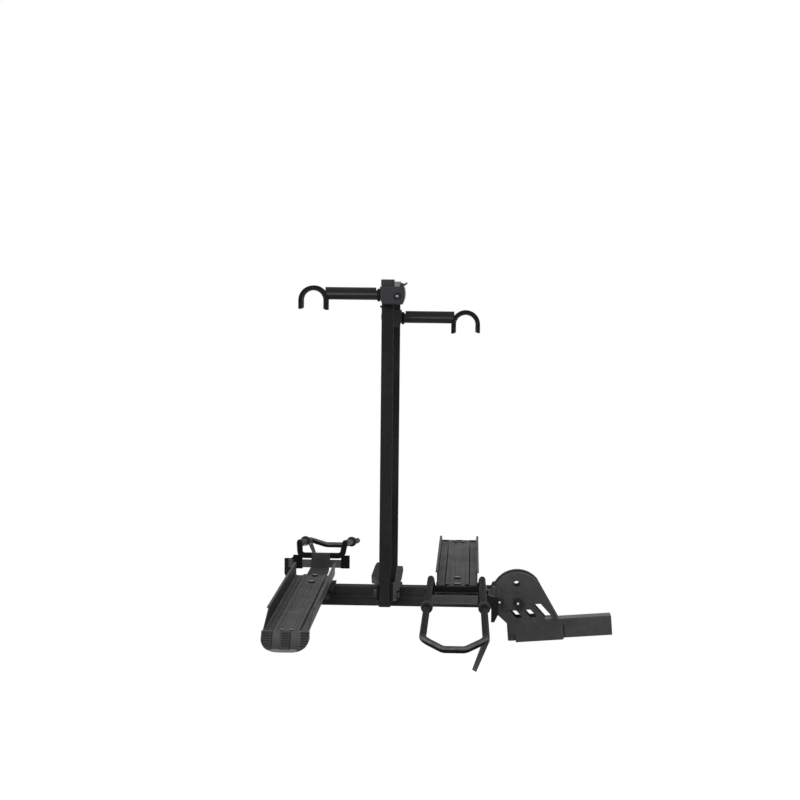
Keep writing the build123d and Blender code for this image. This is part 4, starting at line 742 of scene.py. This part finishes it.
# Fields of the nose's face, as shares of its width. The face itself is a share of the nose's height.
NOSE_GROOVES = ((0.2, 0.235), (0.575, 0.615))
NOSE_RIBBED = ((0.02, 0.2), (0.4, 0.575), (0.82, 0.98))
NOSE_SMOOTH = ((0.235, 0.4), (0.615, 0.82))
NOSE_LIP = (0.18, 0.76)
NOSE_FACE = (0.12, 0.9)
# Painted light on the nose: shade in the grooves and the ribbed fields, sheen on the smooth fields, a
# highlight along the lower lip.
GROOVE_SHADE = (0.004, 0.004, 0.0045)
RIBBED_SHADE = (0.01, 0.01, 0.0115)
SMOOTH_SHEEN = (0.085, 0.085, 0.09)
LIP_HIGHLIGHT = (0.17, 0.17, 0.178)


def nose_painted_light(low, high, turn):
    """Painted shade in the grooves and over the ribbed fields, a painted sheen on the smooth fields that
    grows towards the top, and a painted highlight along the lower lip, by place on the nose.
    """

    def tint(graph, place, base):
        left, right = (low.x, high.x) if turn < 0 else (high.x, low.x)
        across = graph.share(graph.axis(place, "X"), left, right)
        rise = graph.share(graph.axis(place, "Z"), low.z, high.z)

        def fields(spans):
            bands = [graph.band(across, start, finish, 0.01) for start, finish in spans]
            widest = bands[0]
            for other in bands[1:]:
                widest = graph.math("MAXIMUM", widest, other)
            return widest

        face = graph.band(rise, *NOSE_FACE, 0.02)
        base = graph.blend(graph.product(fields(NOSE_GROOVES), face), base, GROOVE_SHADE)
        base = graph.blend(graph.product(fields(NOSE_RIBBED), 0.45), base, RIBBED_SHADE)
        smooth = graph.product(fields(NOSE_SMOOTH), graph.ramp(rise, 0.2, 0.85, 0.0, 0.6))
        base = graph.blend(smooth, base, SMOOTH_SHEEN)
        lip = graph.product(graph.band(across, *NOSE_LIP, 0.03), graph.ramp(rise, 0.13, 0.19, 1.0, 0.0))
        return graph.blend(lip, base, LIP_HIGHLIGHT)

    return tint


def toe_cutter(low, high):
    """What is taken off the two lower corners of a nose that fills the box from low to high."""
    middle = (low.x + high.x) / 2 / MM
    half = (high.x - low.x) / 2 / MM
    bottom = low.z / MM
    ends = (low.y / MM - CUT_PAST_END, high.y / MM + CUT_PAST_END)
    bm = bmesh.new()
    for turn in (-1, 1):
        outline = []
        for step in range(TOE_STEPS + 1):
            angle = math.pi / 2 * step / TOE_STEPS
            inset = TOE_WIDTH * (1 - math.sin(angle))
            outline.append((half - inset, bottom + TOE_HEIGHT * (1 - math.cos(angle))))
        outline.append((half + CUT_PAST_FACE, bottom + TOE_HEIGHT))
        outline.append((half + CUT_PAST_FACE, bottom - CUT_PAST_FACE))
        outline.append((half - TOE_WIDTH, bottom - CUT_PAST_FACE))
        bridge(bm, [[bm.verts.new((middle + turn * x, y, z)) for x, z in outline] for y in ends])
    bmesh.ops.recalc_face_normals(bm, faces=bm.faces)
    bmesh.ops.scale(bm, vec=(MM, MM, MM), verts=bm.verts)
    mesh = bpy.data.meshes.new("toe_cutter")
    bm.to_mesh(mesh)
    bm.free()
    return bpy.data.objects.new("toe_cutter", mesh)


def rounded_nose(name, side):
    low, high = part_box(name)
    cutter = toe_cutter(low, high)
    work = bpy.data.objects.new("nose_work", NODES[name].data.copy())
    for obj in (cutter, work):
        bpy.context.scene.collection.objects.link(obj)
    weld_points(work)
    cut = work.modifiers.new("toe", "BOOLEAN")
    cut.operation = "DIFFERENCE"
    cut.solver = "EXACT"
    cut.object = cutter
    bpy.context.view_layer.update()
    evaluated = bpy.context.evaluated_depsgraph_get()
    mesh = bpy.data.meshes.new_from_object(work.evaluated_get(evaluated), depsgraph=evaluated)
    for obj in (cutter, work):
        bpy.data.objects.remove(obj)
    mesh.name = f"{side}_nose_shell"
    shell = bpy.data.objects.new(f"{side}_nose_shell", mesh)
    bpy.context.scene.collection.objects.link(shell)
    tint = nose_painted_light(low, high, CARRIERS[side].turn)
    mesh.materials.clear()
    mesh.materials.append(finish_material(f"{side}_nose_moulding", *NOSE_BLACK, **NOSE_WEAR, tint=tint))
    soften(shell, PLAIN_EDGE)
    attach(shell, "spine")
    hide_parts(name)


for side in CARRIERS:
    rounded_nose(f"{side}_tray_nose", side)


# Wheel straps: ladder teeth across the band and down the hanging tail, the keepers round the hoop's rods, and
# the grip ribs on the outer face of the buckle lever. A rib's size is its width, length and height.

HOOP_CREST = Vector((63.0, -288.0, 94.0))
HOOP_CORNER = Vector((71.0, -758.0, 34.0))
STRAP_FACE = -273.0
STRAP_HEIGHT = 38.0
STRAP_MIDDLE_BELOW_ROD = 1.6
BAND_TEETH_FROM = -72.0
BAND_TEETH = 34
TOOTH_PITCH = 3.6
BAND_TOOTH = (1.7, 15.0, 1.1)
TAIL_FROM_CORNER = 20.0
TAIL_DROP = Vector((-26.0, -5.0, -66.0))
TAIL_START_ACROSS = Vector((0.8, -0.55, -0.1)).normalized()
TAIL_END_ACROSS = Vector((0.45, -0.88, -0.1)).normalized()
TAIL_PARTS = 18
TAIL_TEETH = range(3, 17)
TAIL_HALF = 1.4
TAIL_TOOTH = (1.6, 11.0, 0.9)
KEEPER_AT = 0.5
KEEPER_PROFILE = [
    (8.05, -9.0), (12.6, -9.0), (13.9, -7.8), (14.2, -5.0), (13.5, -3.6),
    (13.5, 3.6), (14.2, 5.0), (13.9, 7.8), (12.6, 9.0), (8.05, 9.0),
]
KEEPER_RIB = (2.0, 9.0, 0.9)
KEEPER_RIB_FOOT = 13.2
KEEPER_RIB_LIFT = 2.4
BUCKLE_RIBS = 6
BUCKLE_RIB_X = 95.5
BUCKLE_RIB_TOP = 34.0
BUCKLE_RIB_PITCH = 5.0
BUCKLE_RIB = (2.0, 12.0, 1.2)
RIB_SINK = 0.2


def add_tail_teeth(bm, place):
    run = (HOOP_CORNER - HOOP_CREST).normalized()
    down = run.cross(X).normalized()
    down = -down if down.z > 0 else down
    bend = HOOP_CORNER - run * TAIL_FROM_CORNER + down * (ROD_RADIUS + STRAP_MIDDLE_BELOW_ROD)
    line = TAIL_DROP.normalized()
    for step in TAIL_TEETH:
        share = step / TAIL_PARTS
        across = TAIL_START_ACROSS.lerp(TAIL_END_ACROSS, share).normalized()
        across = (across - line * across.dot(line)).normalized()
        for out in (-across.cross(line).normalized(), across.cross(line).normalized()):
            foot = place.at(*(bend + TAIL_DROP * share + out * TAIL_HALF))
            add_rib(bm, foot, place.along(*line), place.along(*across), place.along(*out), *TAIL_TOOTH)


def add_keeper(bm, place, turn):
    crest = Vector((turn * HOOP_CREST.x, HOOP_CREST.y, HOOP_CREST.z))
    corner = Vector((turn * HOOP_CORNER.x, HOOP_CORNER.y, HOOP_CORNER.z))
    centre = crest.lerp(corner, KEEPER_AT)
    axis = (corner - crest).normalized()
    add_lathe(bm, place.at(*centre), place.along(*axis), Z, KEEPER_PROFILE, segments=40, closed=True)
    outward = place.along(turn, 0, 0)
    for lift in (-KEEPER_RIB_LIFT, KEEPER_RIB_LIFT):
        foot = place.at(*(centre + axis * lift)) + outward * KEEPER_RIB_FOOT
        add_rib(bm, foot, place.along(*axis), Z, outward, *KEEPER_RIB)


def add_buckle_ribs(bm, place, side):
    lever_low, lever_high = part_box(f"{side}_buckle_lever")
    face = max(abs(lever_low.y), abs(lever_high.y)) / MM - RIB_SINK
    for step in range(BUCKLE_RIBS):
        foot = place.at(BUCKLE_RIB_X, -face, BUCKLE_RIB_TOP - step * BUCKLE_RIB_PITCH)
        add_rib(bm, foot, Z, place.along(1, 0, 0), place.along(0, -1, 0), *BUCKLE_RIB)


for side, place in CARRIERS.items():
    bm = bmesh.new()
    for step in range(BAND_TEETH):
        foot = place.at(BAND_TEETH_FROM + step * TOOTH_PITCH, STRAP_FACE, STRAP_HEIGHT)
        add_rib(bm, foot, place.along(1, 0, 0), Z, place.along(0, -1, 0), *BAND_TOOTH)
    add_tail_teeth(bm, place)
    finish_piece(f"{side}_strap_teeth", bm, "spine", MATERIALS["strap_plastic"])
    bm = bmesh.new()
    for turn in (-1, 1):
        add_keeper(bm, place, turn)
    finish_piece(f"{side}_strap_keepers", bm, "spine", MATERIALS["grip_rubber"])
    bm = bmesh.new()
    add_buckle_ribs(bm, place, side)
    black = MATERIALS["buckle_black"]
    finish_piece(f"{side}_buckle_ribs", bm, f"{side}_buckle_lever", black)


# Fold levers: grip ribs on the outer face, square to the lever. The ribbed run goes from the first pair to
# the second, each with its x and its distance from the bolt. Then comes the lever's lean in degrees.

LEVER_FACES = {"front": ((42.0, 37.0), (46.6, 64.0), 0.0), "back": ((54.0, 22.0), (46.3, 55.0), 42.0)}
LEVER_RIBS = 7
LEVER_RIB_START = 0.6
LEVER_RIB_PARTS = 7.2
LEVER_RIB_SINK = 0.15
LEVER_RIB = (2.0, 19.0, 1.1)
LEVER_RIB_TAPER = 0.13

for side, place in POSTS.items():
    start, finish, degrees = LEVER_FACES[side]
    lean = math.radians(degrees)
    along = Vector((0.0, -math.sin(lean), math.cos(lean)))
    across = Vector((0.0, math.cos(lean), math.sin(lean)))
    slope = (X * (finish[0] - start[0]) + along * (finish[1] - start[1])).normalized()
    out = across.cross(slope).normalized()
    out = -out if out.x < 0 else out
    bm = bmesh.new()
    for step in range(LEVER_RIBS):
        share = (step + LEVER_RIB_START) / LEVER_RIB_PARTS
        x = start[0] + (finish[0] - start[0]) * share
        reach = start[1] + (finish[1] - start[1]) * share
        foot = place.at(*(X * x + Z * FOLD_BOLT_Z + along * reach - out * LEVER_RIB_SINK))
        size = (LEVER_RIB[0], LEVER_RIB[1] - LEVER_RIB_TAPER * reach, LEVER_RIB[2])
        add_rib(bm, foot, place.along(*slope), place.along(*across), place.along(*out), *size)
    finish_piece(f"{side}_lever_ribs", bm, f"{side}_fold_lever", MATERIALS["black_plastic"])


# Heads: the lock's bezel and plug, and the ribs in the hook's pad.

HEAD_BOTTOMS = {"front": 762.0, "back": 699.0}
BARREL_X = {"front": 25.8, "back": 20.5}
BARREL_RISE = 21.4
BEZEL_FACE = -52.0
BEZEL_PROFILE = [(7.15, -0.6), (7.15, 0.9), (7.6, 1.35), (8.6, 1.5), (9.6, 1.2), (10.1, 0.5), (10.2, -0.6)]
PLUG_FACE = -53.5
PLUG_PROFILE = ((2.9, -0.2), (2.9, 0.35), (2.6, 0.6))
PLUG_SLOT_HALF = 1.15
PLUG_STEPS = 8
PAD_CENTRE = (-187.0, -34.0, 8.2)
PAD_RADIUS = 25.9 + RIB_SINK
PAD_RIB = (1.9, 26.0, 1.0)
PAD_ARC_DEGREES = range(0, 190, 10)
PAD_LEG_DROPS = (4.5, 9.0, 13.5, 18.0)


def add_plug_half(bm, place, x, z, turn):
    """One side of the lock's plug, beside the keyway."""
    rings = []
    for radius, rise in PLUG_PROFILE:
        start = math.asin(PLUG_SLOT_HALF / radius)
        ring = []
        for step in range(PLUG_STEPS + 1):
            angle = start + (math.pi - 2 * start) * step / PLUG_STEPS
            right = turn * radius * math.sin(angle)
            ring.append(bm.verts.new(place.at(x + right, PLUG_FACE - rise, z + radius * math.cos(angle))))
        rings.append(ring)
    bridge(bm, rings)


for side, place in POSTS.items():
    bottom = HEAD_BOTTOMS[side]
    barrel_x, barrel_z = BARREL_X[side], bottom + BARREL_RISE
    bm = bmesh.new()
    face = place.at(barrel_x, BEZEL_FACE, barrel_z)
    add_lathe(bm, face, place.along(0, -1, 0), Z, BEZEL_PROFILE, segments=48, closed=True)
    finish_piece(f"{side}_lock_bezel", bm, f"{side}_head", MATERIALS["bezel_black"])
    bm = bmesh.new()
    for turn in (-1, 1):
        add_plug_half(bm, place, barrel_x, barrel_z, turn)
    finish_piece(f"{side}_lock_plug", bm, f"{side}_head", MATERIALS["lock_metal"])

    bm = bmesh.new()
    centre = place.at(PAD_CENTRE[0], PAD_CENTRE[1], bottom + PAD_CENTRE[2])
    width_axis = place.along(0, 1, 0)
    for degrees in PAD_ARC_DEGREES:
        angle = math.radians(degrees)
        radial = place.along(math.cos(angle), 0, math.sin(angle))
        tangent = place.along(-math.sin(angle), 0, math.cos(angle))
        add_rib(bm, centre + radial * PAD_RADIUS, tangent, width_axis, -radial, *PAD_RIB)
    for turn in (1, -1):
        outward = place.along(turn, 0, 0)
        for drop in PAD_LEG_DROPS:
            add_rib(bm, centre + outward * PAD_RADIUS - Z * drop, Z, width_axis, -outward, *PAD_RIB)
    finish_piece(f"{side}_pad_ribs", bm, f"{side}_head", MATERIALS["grip_rubber"])


# Studio: a pale floor, a white surround and soft lamps.

WHITE = (1.0, 1.0, 1.0, 1.0)
AMBIENT_COLOUR = (0.95, 0.97, 1.0, 1.0)
AMBIENT_LIGHT = 0.3
FLOOR_COLOUR = (0.82, 0.82, 0.82, 1.0)
FLOOR_BOUNCE = (0.45, 0.45, 0.45, 1.0)
FLOOR_GLOW = 0.7
FLOOR_SIZE = 60.0
FLOOR_PLACE = (-0.4, 0.0, -0.36)
FLOOR_CLEAR = 0.5
FLOOR_FADED = 1.5


def camera_like(graph):
    """One for the rays that the camera sees by itself, in a mirror or through glass."""
    path = graph.add("ShaderNodeLightPath")
    seen = graph.math("MAXIMUM", path.outputs["Is Camera Ray"], path.outputs["Is Glossy Ray"])
    return graph.math("MAXIMUM", seen, path.outputs["Is Transmission Ray"])


world = bpy.data.worlds.new("world")
bpy.context.scene.world = world
world.use_nodes = True
graph = Graph(world.node_tree)
ambient = graph.add("ShaderNodeBackground", Color=AMBIENT_COLOUR, Strength=AMBIENT_LIGHT)
white = graph.add("ShaderNodeBackground", Color=WHITE, Strength=1.0)
both = graph.add("ShaderNodeMixShader", camera_like(graph), ambient.outputs[0], white.outputs[0])
graph.add("ShaderNodeOutputWorld", Surface=both.outputs[0])

floor_material, graph = new_material("floor")
plain = graph.add("ShaderNodeBsdfDiffuse", Color=FLOOR_COLOUR)
bounced = graph.add("ShaderNodeBsdfDiffuse", Color=FLOOR_BOUNCE)
glow = graph.add("ShaderNodeEmission", Color=WHITE, Strength=FLOOR_GLOW)
lit = graph.add("ShaderNodeAddShader", plain.outputs[0], glow.outputs[0])
away = graph.add("ShaderNodeVectorMath", graph.place(), settings={"operation": "LENGTH"})
edge = graph.ramp(away.outputs["Value"], FLOOR_CLEAR, FLOOR_FADED)
surround = graph.add("ShaderNodeEmission", Color=WHITE, Strength=1.0)
fade = graph.add("ShaderNodeMixShader", edge, lit.outputs[0], surround.outputs[0])
both = graph.add("ShaderNodeMixShader", camera_like(graph), bounced.outputs[0], fade.outputs[0])
graph.add("ShaderNodeOutputMaterial", Surface=both.outputs[0])

bpy.ops.mesh.primitive_plane_add(size=FLOOR_SIZE, location=FLOOR_PLACE)
floor = bpy.context.object
floor.name = "floor"
floor.data.materials.append(floor_material)
floor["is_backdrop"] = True

OBJECT_MIDDLE = Vector((-0.4, 0.0, 0.35))
# Name, place, width and height, power, and whether the lamp is seen in reflections.
LAMPS = (
    ("key", (-1.4, -3.6, 2.2), (2.6, 2.0), 84.0, True),
    ("fill", (2.8, -2.4, 1.2), (2.2, 2.2), 8.0, True),
    ("top", (-0.4, 0.6, 3.6), (3.0, 3.0), 6.0, False),
    ("rear", (0.6, 3.8, 1.6), (2.4, 1.8), 45.0, False),
    ("left", (-4.2, 1.0, 1.2), (1.8, 1.8), 60.0, False),
    ("right", (3.4, 1.2, 1.0), (1.8, 1.8), 50.0, False),
)

for name, spot, size, power, mirrored in LAMPS:
    data = bpy.data.lights.new(name, "AREA")
    data.shape = "RECTANGLE"
    data.size, data.size_y = size
    data.energy = power
    lamp = bpy.data.objects.new(name, data)
    bpy.context.scene.collection.objects.link(lamp)
    lamp.location = spot
    lamp.rotation_mode = "QUATERNION"
    lamp.rotation_quaternion = (OBJECT_MIDDLE - Vector(spot)).to_track_quat("-Z", "Y")
    lamp.visible_glossy = mirrored


low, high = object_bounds()
